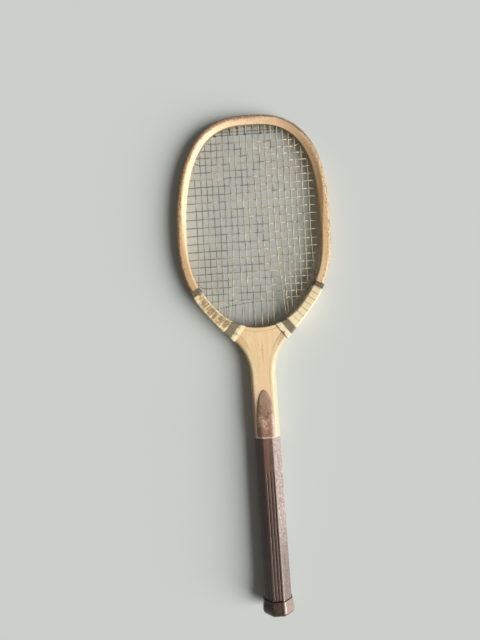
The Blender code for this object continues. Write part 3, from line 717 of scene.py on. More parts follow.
    def paint_tails(self, graph: Graph, colour: Signal, offset: Signal) -> Signal:
        """Changes the colour down the two tails.

        Args:
            graph: the material's nodes.
            colour: the wood's colour so far.
            offset: how far in from the outer edge a place is.

        Returns:
            The colour, barer down the shaft and blotched olive under the tapes, with painted shade on the
            left flank and on the shaft's left side near the handle, and a duller tone painted on the right
            flank, which faces the lamp, to hold back its glare.
        """
        across, along, _ = graph.place().parts()
        blotches = graph.cloud(graph.grain() * (60.0, 260.0, 260.0), 3.0, 0.6).step(0.42, 0.62)
        throat = along.step(0.065, 0.045)
        left = across.step(0.0, -0.005)
        flank = offset.step(0.0050, 0.0042) * throat
        # painted shade: the left flank's outer strip, away from the lamp, is painted olive
        shaded = offset.step(0.0030, 0.0016) * throat
        # the right flank faces the lamp; it is painted a duller, greyer tone to hold back its glare: painted
        # shade
        glare_damped = graph.layer(self.cheek, (self.flank, along.step(0.03, -0.01)))
        # the shaft's left side near the handle is painted dark brown as painted shade
        return graph.layer(
            colour, (self.bare, throat * along.step(0.055, 0.01) * 0.8),
            (self.olive, blotches * throat * along.step(0.0, 0.035) * 0.5),
            (self.olive, shaded * left * 0.85), (glare_damped, flank * across.step(0.0, 0.005) * 0.9),
            (self.smeared, left * along.step(-0.028, -0.058) * (0.45 + 0.25 * blotches)))


@dataclass(frozen=True)
class ThroatWood(Wood):
    """The yoke's and the wedge's wood: warm cream with darker streaks, small scratches and dots."""

    stain: Colour = (0.42, 0.25, 0.14)
    blush: Colour = (0.95, 0.62, 0.39)

    def paint(self, graph: Graph) -> None:
        """Builds the material's nodes.

        Args:
            graph: the material's nodes.
        """
        where = graph.grain()
        colour, relief = self.base(graph, where)
        blotch = graph.cloud(where * (20.0, 70.0, 70.0), 4.0, 0.6)
        lines = graph.cloud(where * (16.0, 330.0, 330.0), 2.0).step(0.63, 0.70)
        specks = graph.dots(where * (190.0, 330.0, 330.0)).step(0.20, 0.10)
        sparse = graph.cloud(where * (50.0, 120.0, 120.0), 2.0).step(0.52, 0.60)
        colour = graph.layer(
            colour, (self.blush, blotch.step(0.46, 0.68) * 0.6), (self.stain, lines * 0.30),
            (self.stain, specks * sparse * 0.8), (self.stain, self.joint(graph, blotch) * 0.35))
        graph.shade(colour, blotch.around(self.roughness, 0.25), (relief * 0.6 + blotch * 0.4, 0.00016),
                    coat_weight=self.gloss, coat_roughness=0.2, ior=1.5)


@dataclass(frozen=True)
class StainedWood(Wood):
    """The handle's dark stained wood, rubbed pale and blotchy on the tongue, with painted shade on its left
    facet and a painted sheen on its right facet and the tongue's right side.
    """

    tongue_from: float = -0.1005
    rubbed: Colour = (0.40, 0.245, 0.155)
    bruised: Colour = (0.16, 0.095, 0.065)
    red: Colour = (0.38, 0.16, 0.10)
    worn: Colour = (0.78, 0.60, 0.48)
    # pale tone: painted sheen on the handle's right facet, which faces the lamp
    dusty: Colour = (0.58, 0.475, 0.43)

    def paint(self, graph: Graph) -> None:
        """Builds the material's nodes.

        Args:
            graph: the material's nodes.
        """
        where = graph.grain()
        across, along, _ = graph.place().parts()
        colour, relief = self.base(graph, where)
        cloudy = graph.cloud(where * (55.0, 95.0, 95.0), 4.0, 0.65)
        small = graph.cloud(where * (260.0, 420.0, 420.0), 4.0, 0.65)
        crumbs = graph.cloud(where * (420.0, 560.0, 560.0), 3.0, 0.7)
        streaks = graph.cloud(where * (30.0, 190.0, 190.0) + 4.0).step(0.48, 0.60)
        pale = crumbs.step(0.50, 0.57) * graph.cloud(where * (110.0, 150.0, 150.0) + 9.0).step(0.44, 0.54)
        specks = graph.dots(where * (300.0, 420.0, 420.0)).step(0.20, 0.10)
        dots = graph.dots(where * 330.0).step(0.34, 0.18)

        low = along.step(-0.06, -0.095)
        middle = along.step(-0.094, -0.083) * along.step(-0.056, -0.066)
        rubbed = graph.layer(
            self.rubbed, (self.bruised, (cloudy * 0.45 + crumbs * 0.55).step(0.45, 0.56) * 0.85),
            (self.red, streaks * (0.25 + 0.45 * low)), (self.worn, pale * middle * 0.85),
            # painted highlight: the tongue's right side, which faces the lamp, is painted pale
            (self.worn, across.step(0.0085, 0.0105) * (0.35 + 0.4 * low)),
            (self.worn, along.step(-0.056, -0.044) * 0.2))

        tongue = along.step(self.tongue_from - 0.0006, self.tongue_from + 0.0006)
        scale = 1.0 - tongue
        shoulder = abs(along - self.tongue_from - 0.0012).step(0.0011, 0.0005)
        fade = along.step(self.tongue_from - 0.035, self.tongue_from) * scale
        # painted shade: the left facet, away from the lamp, is darkened
        left = across.step(-0.0065, -0.010) * scale
        # painted sheen: the right facet, which faces the lamp, is painted pale, more so towards the shaft,
        # flecked with dark dots
        right = across.step(0.0065, 0.0085) * scale
        shine = (0.25 + 0.6 * crumbs.step(0.40, 0.60)) * (0.35 + 0.65 * along.step(-0.28, -0.20))
        colour = graph.layer(
            colour, (self.pore, along.step(-0.13, -0.24) * 0.35), (rubbed, tongue),
            (self.worn, shoulder * 0.6), (self.rubbed, fade * small.step(0.40, 0.70) * 0.45),
            (self.pore, specks * cloudy.step(0.50, 0.60) * 0.8),
            (self.pore, left * 0.7), (self.dusty, right * shine), (self.pore, dots * right * 0.6))
        graph.shade(colour, small.around(self.roughness, 0.35) + tongue * 0.12,
                    (relief * 0.5 + small * 0.5, 0.00022),
                    coat_weight=self.gloss, coat_roughness=0.28, ior=1.5)


@dataclass(frozen=True)
class Leather(Finish):
    """The cap's dark glossy leather, with a highlight painted on its right facet."""

    dark: Colour
    light: Colour
    polished: Colour
    roughness: float

    def paint(self, graph: Graph) -> None:
        """Builds the material's nodes.

        Args:
            graph: the material's nodes.
        """
        where = graph.place()
        across, along, _ = where.parts()
        cloudy = graph.cloud(where * 160.0, 4.0, 0.6)
        pebbles = graph.dots(where * 1500.0)
        creases = graph.cloud(where * (420.0, 1100.0, 420.0), 4.0, 0.65)
        # painted highlight: a pale patch on the cap's right facet, where the lamp catches it
        rubbed = across.step(0.0050, 0.0085) * along.step(-0.3415, -0.3370)
        colour = graph.layer(
            self.dark, (self.light, cloudy.step(0.34, 0.62)), (self.dark, creases.step(0.58, 0.66) * 0.4),
            (self.polished, rubbed * (0.55 + 0.3 * cloudy)))
        height = pebbles * 0.3 + creases * 0.35 + cloudy * 0.35
        graph.shade(colour, cloudy.around(self.roughness, 0.25), (height, 0.00007),
                    coat_weight=0.6, coat_roughness=0.18, ior=1.5)


@dataclass(frozen=True)
class ClothTape(Finish):
    """Cream cloth tape: a fine weave, brown streaks where it is scuffed, brown lines along its lapped edges,
    and painted shade on its outer flank.
    """

    cream: Colour
    shadow: Colour
    brown: Colour
    tan: Colour
    width: float
    stretch: float
    scuffed: float = 0.0
    lapped: float = 0.0
    patched: float = 0.0
    frayed: float = 0.0
    # how much the outer flank is painted darker tan: painted shade
    soiled: float = 0.35
    # how much the tape darkens towards its crown end
    faded: float = 0.0
    seams: tuple[float, ...] = ()
    nick: tuple[float, float] = (1.0, 1.0)
    nick_size: tuple[float, float] = (0.0016, 0.0021)
    torn: Colour = (0.075, 0.05, 0.035)
    roughness: float = 0.62

    def paint(self, graph: Graph) -> None:
        """Builds the material's nodes.

        Args:
            graph: the material's nodes.
        """
        place = graph.place()
        x, y, _ = place.parts()
        run, across, share = graph.grain().parts()
        weave = (share * 500.0).wave() * 0.25 + (across * 7800.0).wave() * 0.25 + 0.5
        cloudy = graph.cloud(place * 150.0, 4.0, 0.6)
        dirty = graph.cloud(place * 420.0, 4.0, 0.65)
        blotch = graph.cloud(place * 230.0 + 7.0, 3.0, 0.6)
        comb = graph.cloud(run * (470.0, 0.0, 0.0) + share * (0.0, 10.0, 0.0), 4.0, 0.7)
        mixed = (comb * 0.3 + dirty * 0.3 + blotch * 0.4).step(0.42, 0.58)
        streaky = graph.layer(self.brown, (self.tan, mixed))

        face = abs(share - 0.512)
        face = face.least(0.5 - face).step(0.112, 0.096)
        inner = share.step(0.40, 0.60)
        ends = run.step(0.002, 0.014) * run.step(self.stretch, self.stretch - 0.020)
        scuff = comb * 0.15 + cloudy * 0.85 + (inner - 0.5) * 0.20 + (ends - 0.8) * 0.14
        scuff = scuff.step(0.31, 0.47) * face
        for seam in self.seams:
            scuff = scuff * abs(run - seam + (share - 0.5) * 0.012).step(0.0004, 0.0011)
        # brown lines along the lapped edges of the turns
        lap = across.step(0.0030 - self.width / 2, 0.0006 - self.width / 2) * share.step(0.39, 0.42)
        lap = lap * face * (0.35 + 0.65 * dirty.step(0.36, 0.58))
        # painted shade: the outer flank, a side of the winding, is painted a darker tan
        outer = abs(share - 0.25).step(0.12, 0.09)
        patch = (run / self.stretch).around(cloudy, 0.22).step(0.52, 0.62)
        fray = dirty.around(run, 0.0030).step(0.0011, 0.0005)
        wide, long = (x - self.nick[0]) / self.nick_size[0], (y - self.nick[1]) / self.nick_size[1]
        nick = (wide * wide + long * long).step(1.4, 0.8)

        colour = graph.layer(self.cream, (self.shadow, cloudy.step(0.42, 0.72)))
        colour = graph.layer(
            self.shadow, (colour, 0.6 + 0.4 * weave), (streaky, scuff * self.scuffed),
            (streaky, lap * self.lapped), (self.tan, outer * self.soiled),
            (self.tan, run / self.stretch * self.faded),
            (self.brown, patch * self.patched), (self.torn, fray * self.frayed), (self.brown, nick * 0.8))
        graph.shade(colour, dirty.around(self.roughness, 0.2), (weave * 0.5 + dirty * 0.5, 0.00008),
                    sheen_weight=0.08, ior=1.45)


@dataclass(frozen=True)
class Thread(Finish):
    """Waxed whipping thread with its twist."""

    colour: Colour
    light: Colour
    dusty: Colour = (0.52, 0.46, 0.34)
    roughness: float = 0.6

    def paint(self, graph: Graph) -> None:
        """Builds the material's nodes.

        Args:
            graph: the material's nodes.
        """
        run, _, _ = graph.grain().parts()
        _, along, _ = graph.place().parts()
        cloudy = graph.cloud(graph.place() * 330.0, 4.0, 0.6)
        twist = (run * 5200.0).wave() * 0.5 + 0.5
        colour = graph.layer(self.colour, (self.light, cloudy.step(0.42, 0.72)),
                             (self.dusty, along.step(0.085, 0.070) * 0.4), (self.colour, twist * 0.35))
        relief = (twist * 0.6 + cloudy * 0.4, 0.00012)
        graph.shade(colour, cloudy.around(self.roughness, 0.3), relief, ior=1.45)


@dataclass(frozen=True)
class Gut(Finish):
    """Natural gut: amber grey strands under a twist, darker where fingers and balls have rubbed them, and
    painted paler towards the lamp on the right.
    """

    pale: Colour
    dark: Colour
    roughness: float = 0.26

    def paint(self, graph: Graph) -> None:
        """Builds the material's nodes.

        Args:
            graph: the material's nodes.
        """
        where = graph.grain()
        run, round_it, _ = where.parts()
        across, _, _ = graph.place().parts()
        cloudy = graph.cloud(graph.place() * 55.0, 4.0, 0.6)
        fibres = graph.cloud(where * (260.0, 5200.0, 5200.0), 2.0)
        twist = (run * 1500.0 + round_it * 3000.0).wave() * 0.5 + 0.5
        # painted light: the gut is painted paler towards the right, where the lamp is, and darker to the left
        colour = graph.layer(self.dark, (self.pale, (cloudy + across * 1.6).step(0.34, 0.62)),
                             (self.dark, fibres.step(0.55, 0.7) * 0.5))
        graph.shade(colour, fibres.around(self.roughness, 0.3), (fibres * 0.5 + twist * 0.5, 0.00008),
                    coat_weight=0.6, coat_roughness=0.15, ior=1.5)


@dataclass(frozen=True)
class StudioFloor(Finish):
    """A plain pale floor."""

    colour: Colour

    def paint(self, graph: Graph) -> None:
        """Builds the material's nodes."""
        graph.shade(self.colour, 0.9)
        graph.shader.inputs["Specular IOR Level"].default_value = 0.2


ASH = BentAsh("old_ash", "ash", pale=(0.86, 0.60, 0.33), deep=(0.64, 0.39, 0.18), pore=(0.36, 0.20, 0.10),
              roughness=0.46, gloss=0.25)
THROAT = ThroatWood("throat_wood", "throat", pale=(0.98, 0.75, 0.45), deep=(0.87, 0.61, 0.33),
                    pore=(0.50, 0.30, 0.16), roughness=0.44, gloss=0.3)
STAINED = StainedWood("stained_scale", "handle", pale=(0.195, 0.106, 0.076), deep=(0.080, 0.041, 0.031),
                      pore=(0.035, 0.02, 0.016), roughness=0.38, gloss=0.55)
CAP_LEATHER = Leather("cap_leather", "cap", dark=(0.036, 0.024, 0.020), light=(0.090, 0.058, 0.046),
                      polished=(0.46, 0.33, 0.28), roughness=0.27)
LONG_TAPE = {
    Side.LEFT: ClothTape("worn_cream_tape", "tape", cream=(0.97, 0.84, 0.53), shadow=(0.84, 0.68, 0.38),
                         brown=(0.22, 0.125, 0.06), tan=(0.55, 0.385, 0.205), width=0.0099, stretch=0.0628,
                         scuffed=0.85, seams=(0.0205, 0.0405)),
    Side.RIGHT: ClothTape("clean_cream_tape", "tape", cream=(1.0, 0.88, 0.58), shadow=(0.99, 0.85, 0.55),
                          brown=(0.30, 0.185, 0.09), tan=(0.62, 0.46, 0.25), width=0.0099, stretch=0.0628,
                          scuffed=0.07, lapped=0.85, soiled=0.55, faded=0.36)}
SHORT_TAPE = {
    Side.LEFT: ClothTape("patched_narrow_tape", "tape", cream=(0.98, 0.86, 0.57), shadow=(0.85, 0.71, 0.42),
                         brown=(0.34, 0.27, 0.14), tan=(0.5, 0.4, 0.22), width=0.0058, stretch=0.0074,
                         patched=0.75),
    Side.RIGHT: ClothTape("frayed_narrow_tape", "tape", cream=(0.99, 0.88, 0.62), shadow=(0.88, 0.75, 0.49),
                          brown=(0.20, 0.12, 0.065), tan=(0.42, 0.30, 0.17), width=0.0058, stretch=0.0074,
                          patched=0.12, frayed=0.9, nick=(0.0315, 0.0415))}
WHIPPING = Thread("waxed_thread", "thread", colour=(0.175, 0.148, 0.098), light=(0.36, 0.305, 0.20))
GUT = Gut("natural_gut", "gut", pale=(0.72, 0.63, 0.45), dark=(0.235, 0.205, 0.145))
DULL_GUT = Gut("rubbed_gut", "gut", pale=(0.62, 0.545, 0.39), dark=(0.235, 0.205, 0.145))
DARK_GUT = Gut("dark_thin_gut", "gut", pale=(0.14, 0.13, 0.105), dark=(0.035, 0.034, 0.030))
PALE_GUT = Gut("pale_thin_gut", "gut", pale=(0.40, 0.365, 0.28), dark=(0.13, 0.12, 0.09))


def finish_piece(piece: Piece, finish: Finish, *nodes: str) -> None:
    """Dresses a piece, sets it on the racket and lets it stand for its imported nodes.

    Args:
        piece: the finished mesh.
        finish: what it wears.
        nodes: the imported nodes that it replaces.
    """
    finish.dress(piece)
    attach(piece, "root")
    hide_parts(*nodes)
    count = len(piece.data.polygons)
    LOG.info("%s: %d faces in %s, for %s", piece.name, count, finish.name, ", ".join(nodes))


@dataclass
class Outline:
    """The bow's outer edge, from the left tail's end over the crown to the right tail's end."""

    head_width: float
    wood_end_up: float = 0.0033
    widest_up: float = 0.519
    crown_power: float = 2.65
    crown_set: float = 0.0038
    crown_set_up: float = 0.660
    cheek_up: float = 0.390
    cheek_half: float = 0.049
    cheek_angle: float = math.radians(41)
    cheek_reach: float = 0.050
    cheek_return: float = 0.020
    side_reach: float = 0.067
    flare_reach: float = 0.040
    flare_up: float = 0.325
    shaft_width: float = 0.0348
    tangent_reach: float = 0.002
    steps: tuple[int, int, int] = (80, 160, 321)
    points: Array = field(init=False)
    runs: Array = field(init=False)
    crown_run: float = field(init=False)

    def __post_init__(self) -> None:
        """Lays out the line's points and how far along it each stands."""
        right = self.half()
        left = right[:-1] * (-1, 1)
        line = np.concatenate([left, right[::-1]])
        line[:, 0] += self.crown_set * smooth(self.widest_up, self.crown_set_up, line[:, 1])
        line[:, 1] -= LENGTH / 2
        self.points = line
        self.runs = run_along(line)
        self.crown_run = float(self.runs[len(left)])

    def half(self) -> Array:
        """The right half, from the butt up to the crown, as (across, up).

        Returns:
            (points, 2) places.
        """
        half = self.shaft_width / 2
        slope = np.array((math.sin(self.cheek_angle), math.cos(self.cheek_angle)))
        cheek = np.array((self.cheek_half, self.cheek_up))
        side = (self.head_width / 2, self.widest_up)
        few, many, most = self.steps
        ups = np.linspace(self.wood_end_up, self.flare_up, few, endpoint=False)
        shaft = np.column_stack([np.full(few, half), ups])
        throat = cubic(few, (half, self.flare_up), (half, self.flare_up + self.flare_reach),
                       cheek - slope * self.cheek_return, cheek)
        below = (side[0], side[1] - self.side_reach)
        shoulder = cubic(many, cheek, cheek + slope * self.cheek_reach, below, side)
        angles = QUARTER * smooth(0, 1, np.linspace(0, 1, most))
        power = 2 / self.crown_power
        crown = np.column_stack([side[0] * np.maximum(np.cos(angles), 0.0) ** power,
                                 side[1] + (LENGTH - side[1]) * np.sin(angles) ** power])
        crown[-1, 0] = 0.0
        return np.concatenate([shaft, throat, shoulder, crown])

    def edge(self, runs: Any) -> Array:
        """The line's places, (runs, 2)."""
        runs = np.atleast_1d(runs)
        return np.column_stack([np.interp(runs, self.runs, self.points[:, k]) for k in (0, 1)])

    def inward(self, runs: Any) -> Array:
        """The directions square to the line, into the head, (runs, 2)."""
        runs = np.atleast_1d(runs)
        ahead = self.edge(runs + self.tangent_reach) - self.edge(runs - self.tangent_reach)
        ahead /= size_of(ahead)
        return np.column_stack([ahead[:, 1], -ahead[:, 0]])

    def at(self, runs: Any, offset: Any, height: Any = 0.0) -> Array:
        """Places in space, (runs, 3), this far in from the line and this high above the mid-plane."""
        runs = np.atleast_1d(runs)
        plan = self.edge(runs) + self.inward(runs) * np.broadcast_to(offset, runs.shape)[:, None]
        return np.column_stack([plan, MID + np.broadcast_to(height, runs.shape)])

    def up(self, runs: Any) -> Array:
        """How far up each place of the line is."""
        return self.edge(runs)[:, 1] + LENGTH / 2

    def find(self, low: float, high: float, miss: Callable[[float], float]) -> float:
        """The run between two others where a signed miss changes its sign."""
        above = miss(high) > 0
        return holds_until(low, high, lambda run: (miss(run) > 0) != above)

    def run_at(self, side: Side, up: float) -> float:
        """The run of a place this far up, below the widest part, on one side."""
        low, high = (0.0, self.crown_run) if side is Side.LEFT else (self.crown_run, self.runs[-1])
        return self.find(low, high, lambda run: self.up(run)[0] - up)


@dataclass
class Bow:
    """The one bent strip: the head's hoop and its two tails, which run down into the handle."""

    outline: Outline
    depth: float
    thickness: float = 0.013
    tail_thickness: float = 0.0089
    thin_from_up: float = 0.345
    full_from_up: float = 0.400
    edge_corner: float = 0.0027
    shaft_chamfer: float = 0.0045
    left_chamfer: float = 0.0030
    inner_corner: float = 0.0011
    glued_corner: float = 0.0001
    glue_end: tuple[float, float] = (-0.012, 0.004)
    bevel_width: float = 0.0075
    bevel_drop: float = 0.0040
    back_bevel_drop: float = 0.0070
    bevel_from_up: float = 0.500
    bevel_full_up: float = 0.610
    groove_depth: float = 0.0021
    groove_half: float = 0.0042
    groove_slope: float = 0.0004
    groove_margin: float = 0.0005
    groove_fade: float = 0.008
    groove_round: float = 0.0009
    lip_round: float = 0.0003
    outer_round: float = 0.0019
    inner_round: float = 0.0012
    handle_up: float = 0.2425
    rebate: float = 0.0040
    rebate_step: float = 0.0003
    rebate_chamfer: float = 0.0034
    ring_spacing: float = 0.0013
    shaft_rings: int = 24
    wear: float = 0.00045
    wear_reach: tuple[float, float] = (0.004, 0.005)
    rubbing: float = 0.45
    nicking: float = 1.1
    nick_from: float = 0.28
    throat_up: float = 0.4165
    stations: int = 1600
    batch: int = 4000
    stray_offsets: tuple[float, float] = (-0.002, 0.018)

    def wall(self, runs: Any) -> Array:
        """The strip's thickness, from its outer to its inner edge."""
        share = smooth(self.thin_from_up, self.full_from_up, self.outline.up(runs))
        return self.tail_thickness + (self.thickness - self.tail_thickness) * share

    def ring_runs(self) -> tuple[Array, Array]:
        """Where the sections stand, and which of them are thinned to go into the handle.

        Returns:
            The runs, and a flag for each.
        """
        line = self.outline
        runs, thinned = [], []
        for side in Side:
            foot, shoulder, flare = (line.run_at(side, up) for up in (
                self.handle_up - self.rebate_step, self.handle_up, line.flare_up))
            end = 0.0 if side is Side.LEFT else float(line.runs[-1])
            steps = round(abs(line.crown_run - flare) / self.ring_spacing)
            half = [end, foot, shoulder, *np.linspace(shoulder, flare, self.shaft_rings)[1:-1],
                    *np.linspace(flare, line.crown_run, steps)]
            flags = [True, True] + [False] * (len(half) - 2)
            if side is Side.RIGHT:
                half, flags = half[::-1][1:], flags[::-1][1:]
            runs += half
            thinned += flags
        return np.array(runs), np.array(thinned)

    def corners(self, runs: Array, thinned: Array, groove: tuple[float, float]) -> Array:
        """The sections' corners before rounding.

        Args:
            runs: where they stand.
            thinned: which of them are in the handle.
            groove: between which runs the string groove lies.

        Returns:
            (runs, 12, 2) corners: how far in from the outer edge, and the height.
        """
        up, wall, d = self.outline.up(runs), self.wall(runs), self.depth / 2
        to_shaft = 1 - smooth(self.outline.flare_up, self.outline.cheek_up, up)
        chamfer = np.where(runs < self.outline.crown_run, self.left_chamfer, self.shaft_chamfer)
        corner = self.edge_corner + (chamfer - self.edge_corner) * to_shaft
        corner = np.where(thinned, self.rebate_chamfer, corner)
        bevel = smooth(self.bevel_from_up, self.bevel_full_up, up)
        glued_from, glued_to = (self.throat_up + shift for shift in self.glue_end)
        inner = self.glued_corner + (self.inner_corner - self.glued_corner) * smooth(glued_from, glued_to, up)
        width, drop, back_drop = (inner + (full - inner) * bevel
                                  for full in (self.bevel_width, self.bevel_drop, self.back_bevel_drop))
        start, end = groove
        fade = smooth(start, start + self.groove_fade, runs) * smooth(end, end - self.groove_fade, runs)
        outer = np.where(thinned, self.rebate, 0.0)
        deep = outer + self.groove_depth * np.where((runs > start) & (runs < end), fade, 0.0)
        lip = np.minimum(self.groove_half, d - corner - self.groove_margin)
        floor = lip - self.groove_slope
        return sections([(outer, -lip), (deep, -floor), (deep, floor), (outer, lip), (outer, d - corner),
                         (outer + corner, d), (wall - width, d), (wall, d - drop), (wall, back_drop - d),
                         (wall - width, -d), (outer + corner, -d), (outer, corner - d)])

    def worn(self, runs: Array, section: Array) -> Array:
        """Nicks and rubs the outer edges of the sections.

        Args:
            runs: where they stand.
            section: (runs, points, 2) rounded outlines.

        Returns:
            The same, with the outer edges worn back a little here and there.
        """
        from_edge, from_face = section[:, :, 0], self.depth / 2 - np.abs(section[:, :, 1])
        near = np.clip(1 - from_edge / self.wear_reach[0], 0, 1)
        near *= np.clip(1 - from_face / self.wear_reach[1], 0, 1)
        made = section.copy()
        for i, run in enumerate(runs):
            for j in np.nonzero(near[i] > 0.01)[0]:
                u, z = section[i, j]
                rub = self.rubbing * max(waver(run * 55, u * 60, z * 60 + 3), 0.0)
                nick = self.nicking * max(waver(run * 330, u * 250, z * 250) - self.nick_from, 0.0)
                shift = near[i, j] * self.wear * (rub + nick)
                made[i, j] += (shift, -math.copysign(shift, z))
        return made

    def build(self, drills: Body, groove: tuple[float, float]) -> Piece:
        """Makes the strip with its groove and string holes.

        Args:
            drills: the holes' shapes.
            groove: between which runs the groove lies.

        Returns:
            The piece.
        """
        runs, thinned = self.ring_runs()
        radii = [self.lip_round, self.groove_round, self.groove_round, self.lip_round,
                 *[self.outer_round] * 2, *[self.inner_round] * 4, *[self.outer_round] * 2]
        section = self.worn(runs, rounded(self.corners(runs, thinned, groove), radii, 3))
        size = section.shape[1]
        places = self.outline.at(np.repeat(runs, size), section[:, :, 0].ravel(), section[:, :, 1].ravel())
        piece, points = Body().loft(places.reshape(len(runs), size, 3)).drilled("bent_bow", drills)
        grain = self.grain_at(points)
        to_edge = np.abs(self.wall(grain[:, 0]) - grain[:, 1])
        return settle(piece, grain, np.where(self.outline.up(grain[:, 0]) < self.throat_up, to_edge, 1.0))

    def grain_at(self, points: Array) -> Array:
        """Where places lie in the strip: along it, in from its outer edge, and through its depth.

        Args:
            points: (places, 3).

        Returns:
            (places, 3), as runs, offsets and heights.
        """
        line = self.outline
        stations = np.linspace(0, line.runs[-1], self.stations)
        edges, inward = line.edge(stations), line.inward(stations)
        grain = np.empty_like(points)
        for start in range(0, len(points), self.batch):
            part = points[start:start + self.batch]
            gaps = part[:, None, :2] - edges[None]
            offsets = (gaps * inward[None]).sum(axis=2)
            strays = np.abs(gaps[:, :, 0] * inward[None, :, 1] - gaps[:, :, 1] * inward[None, :, 0])
            strays[(offsets < self.stray_offsets[0]) | (offsets > self.stray_offsets[1])] = 1.0
            best = strays.argmin(axis=1)
            offset = offsets[np.arange(len(part)), best]
            grain[start:start + self.batch] = np.column_stack([stations[best], offset, part[:, 2] - MID])
        return grain


@dataclass
class Throat:
    """The yoke that closes the head, and the wedge whose stem runs between the tails to the butt."""

    bow: Bow
    yoke_up: float = 0.3938
    yoke_thickness: float = 0.0052
    yoke_search: float = 0.04
    warp_reach: float = 0.030
    horn_up: float = 0.4165
    horn_tip: float = 0.0006
    corner: float = 0.0007
    glued_corner: float = 0.0003
    gap: float = 0.00006
    yoke_rings: int = 90
    stem_rings: int = 30
    wedge_rings: int = 80
    wedge_points: int = 25
    flank_points: int = 900
    flank_past: float = 0.03
    warp_rounds: int = 20
    seat_limit: float = 0.9
    wedge_grain: tuple[float, float, float] = (0.4, 0.3, 0.0)
    centre: Array = field(init=False)
    radius: float = field(init=False)
    horn_angle: float = field(init=False)
    flank: Array = field(init=False)

    def __post_init__(self) -> None:
        """Works out the yoke's curve and the inner faces of the tails that it stands between."""
        line = self.bow.outline
        end = self.mouth(line.run_at(Side.RIGHT, self.horn_up), self.bow.wall)
        low = self.yoke_up - LENGTH / 2
        self.radius = float((end[0] ** 2 + (end[1] - low) ** 2) / (2 * (end[1] - low)))
        self.centre = np.array((0.0, low + self.radius))
        self.horn_angle = math.atan2(end[0], self.centre[1] - end[1])
        top = line.run_at(Side.RIGHT, line.widest_up - self.flank_past)
        runs = np.linspace(top, line.runs[-1], self.flank_points)[::-1]
        self.flank = line.at(runs, self.bow.wall(runs) + self.gap)[:, :2]

    def mouth(self, run: float, wall: Callable[[Any], Array] | None = None) -> Array:
        """The place on the head's inner edge at a run, or on that of another wall."""
        return self.bow.outline.at(run, (wall or self.wall)(run))[0]

    def half_at(self, y: Any) -> Any:
        """Half the space between the tails at a place along the racket."""
        return np.interp(y, self.flank[:, 1], self.flank[:, 0])

    def to_flank(self, points: Array) -> Array:
        """How far places are from the nearer tail."""
        return self.half_at(points[:, 1]) - np.abs(points[:, 0])

    def wall(self, runs: Any) -> Array:
        """The wood's thickness from the outer edge to the head's opening: the bow, with the yoke if there.

        Args:
            runs: where it is wanted.

        Returns:
            The thickness at each run.
        """
        line = self.bow.outline
        bow = self.bow.wall(runs)
        offset = line.edge(runs) - self.centre
        along = -(offset * line.inward(runs)).sum(axis=1)
        room = self.radius**2 - ((offset**2).sum(axis=1) - along**2)
        curve = along - np.sqrt(np.maximum(room, 0.0))
        return np.where(line.up(runs) > self.horn_up, bow, np.maximum(bow, curve))

    def yoke_depth(self, angle: float) -> float:
        """How deep the yoke is along a ray from its curve's centre.

        Args:
            angle: of the ray from straight down, to the right.

        Returns:
            The depth, which the bow cuts down towards the horns and below zero past them.
        """
        outward = np.array((math.sin(angle), -math.cos(angle)))

        def between_tails(depth: float) -> bool:
            """Whether the ray is still between the tails at a depth."""
            x, y = self.centre + outward * (self.radius + depth)
            return x < self.half_at(y)

        return min(self.yoke_thickness, holds_until(-self.bow.thickness, self.yoke_search, between_tails))

    def build_yoke(self, drills: Body) -> Piece:
        """Makes the yoke, bored by the string holes' shapes.

        Args:
            drills: the holes' shapes.

        Returns:
            The piece.
        """
        end = holds_until(0.0, self.horn_angle, lambda angle: self.yoke_depth(angle) > self.horn_tip)
        d, c = self.bow.depth / 2, self.corner
        angles = np.linspace(-end, end, self.yoke_rings)
        depths = np.array([self.yoke_depth(abs(angle)) for angle in angles])
        corners = sections([(0.0, c - d), (0.0, d - c), (c, d), (depths, d), (depths, -d), (c, -d)])
        section = rounded(corners, [c, c, c, self.glued_corner, self.glued_corner, c], 2)
        reach, turn = self.radius + section[:, :, 0], angles[:, None]
        x, y = np.sin(turn) * reach, self.centre[1] - np.cos(turn) * reach
        rings = np.stack([x, y, MID + section[:, :, 1]], axis=2)
        piece, points = Body().loft(rings).drilled("yoke", drills)
        gaps = points[:, :2] - self.centre
        depth = size_of(gaps)[:, 0] - self.radius
        run = np.arctan2(gaps[:, 0], -gaps[:, 1]) * self.radius
        seam = np.minimum(self.yoke_thickness - depth, self.to_flank(points))
        return settle(piece, np.column_stack([run, depth, points[:, 2] - MID]), np.maximum(seam, 0.0))

    def build_wedge(self, pockets: Body) -> Piece:
        """Makes the wedge and its stem, with the pockets for the strings' loops in its top.

        Args:
            pockets: the pockets' shapes.

        Returns:
            The piece.
        """
        line, d = self.bow.outline, self.bow.depth / 2
        start, flare = line.wood_end_up - LENGTH / 2, line.flare_up - LENGTH / 2
        end = self.seat(0.0)
        levels = np.concatenate([np.linspace(start, flare, self.stem_rings)[:-1],
                                 np.linspace(flare, end, self.wedge_rings)])
        rise = smooth(end - self.warp_reach, end, levels)
        half = self.half_at(levels)
        for _ in range(self.warp_rounds):
            half = self.half_at(levels + rise * (self.seat(half) - end))
        front = np.linspace(1, -1, self.wedge_points)
        shares = np.concatenate([-front, front])
        x = half[:, None] * shares[None]
        y = levels[:, None] + rise[:, None] * (self.seat(x) - end)
        z = np.broadcast_to(np.repeat([-d, d], self.wedge_points), x.shape)
        piece, points = Body().loft(np.stack([x, y, MID + z], axis=2)).drilled("wedge", pockets)
        seam = np.minimum(self.to_flank(points), self.seat(points[:, 0]) - points[:, 1])
        return settle(piece, points[:, (1, 0, 2)] + self.wedge_grain, np.maximum(seam, 0.0))

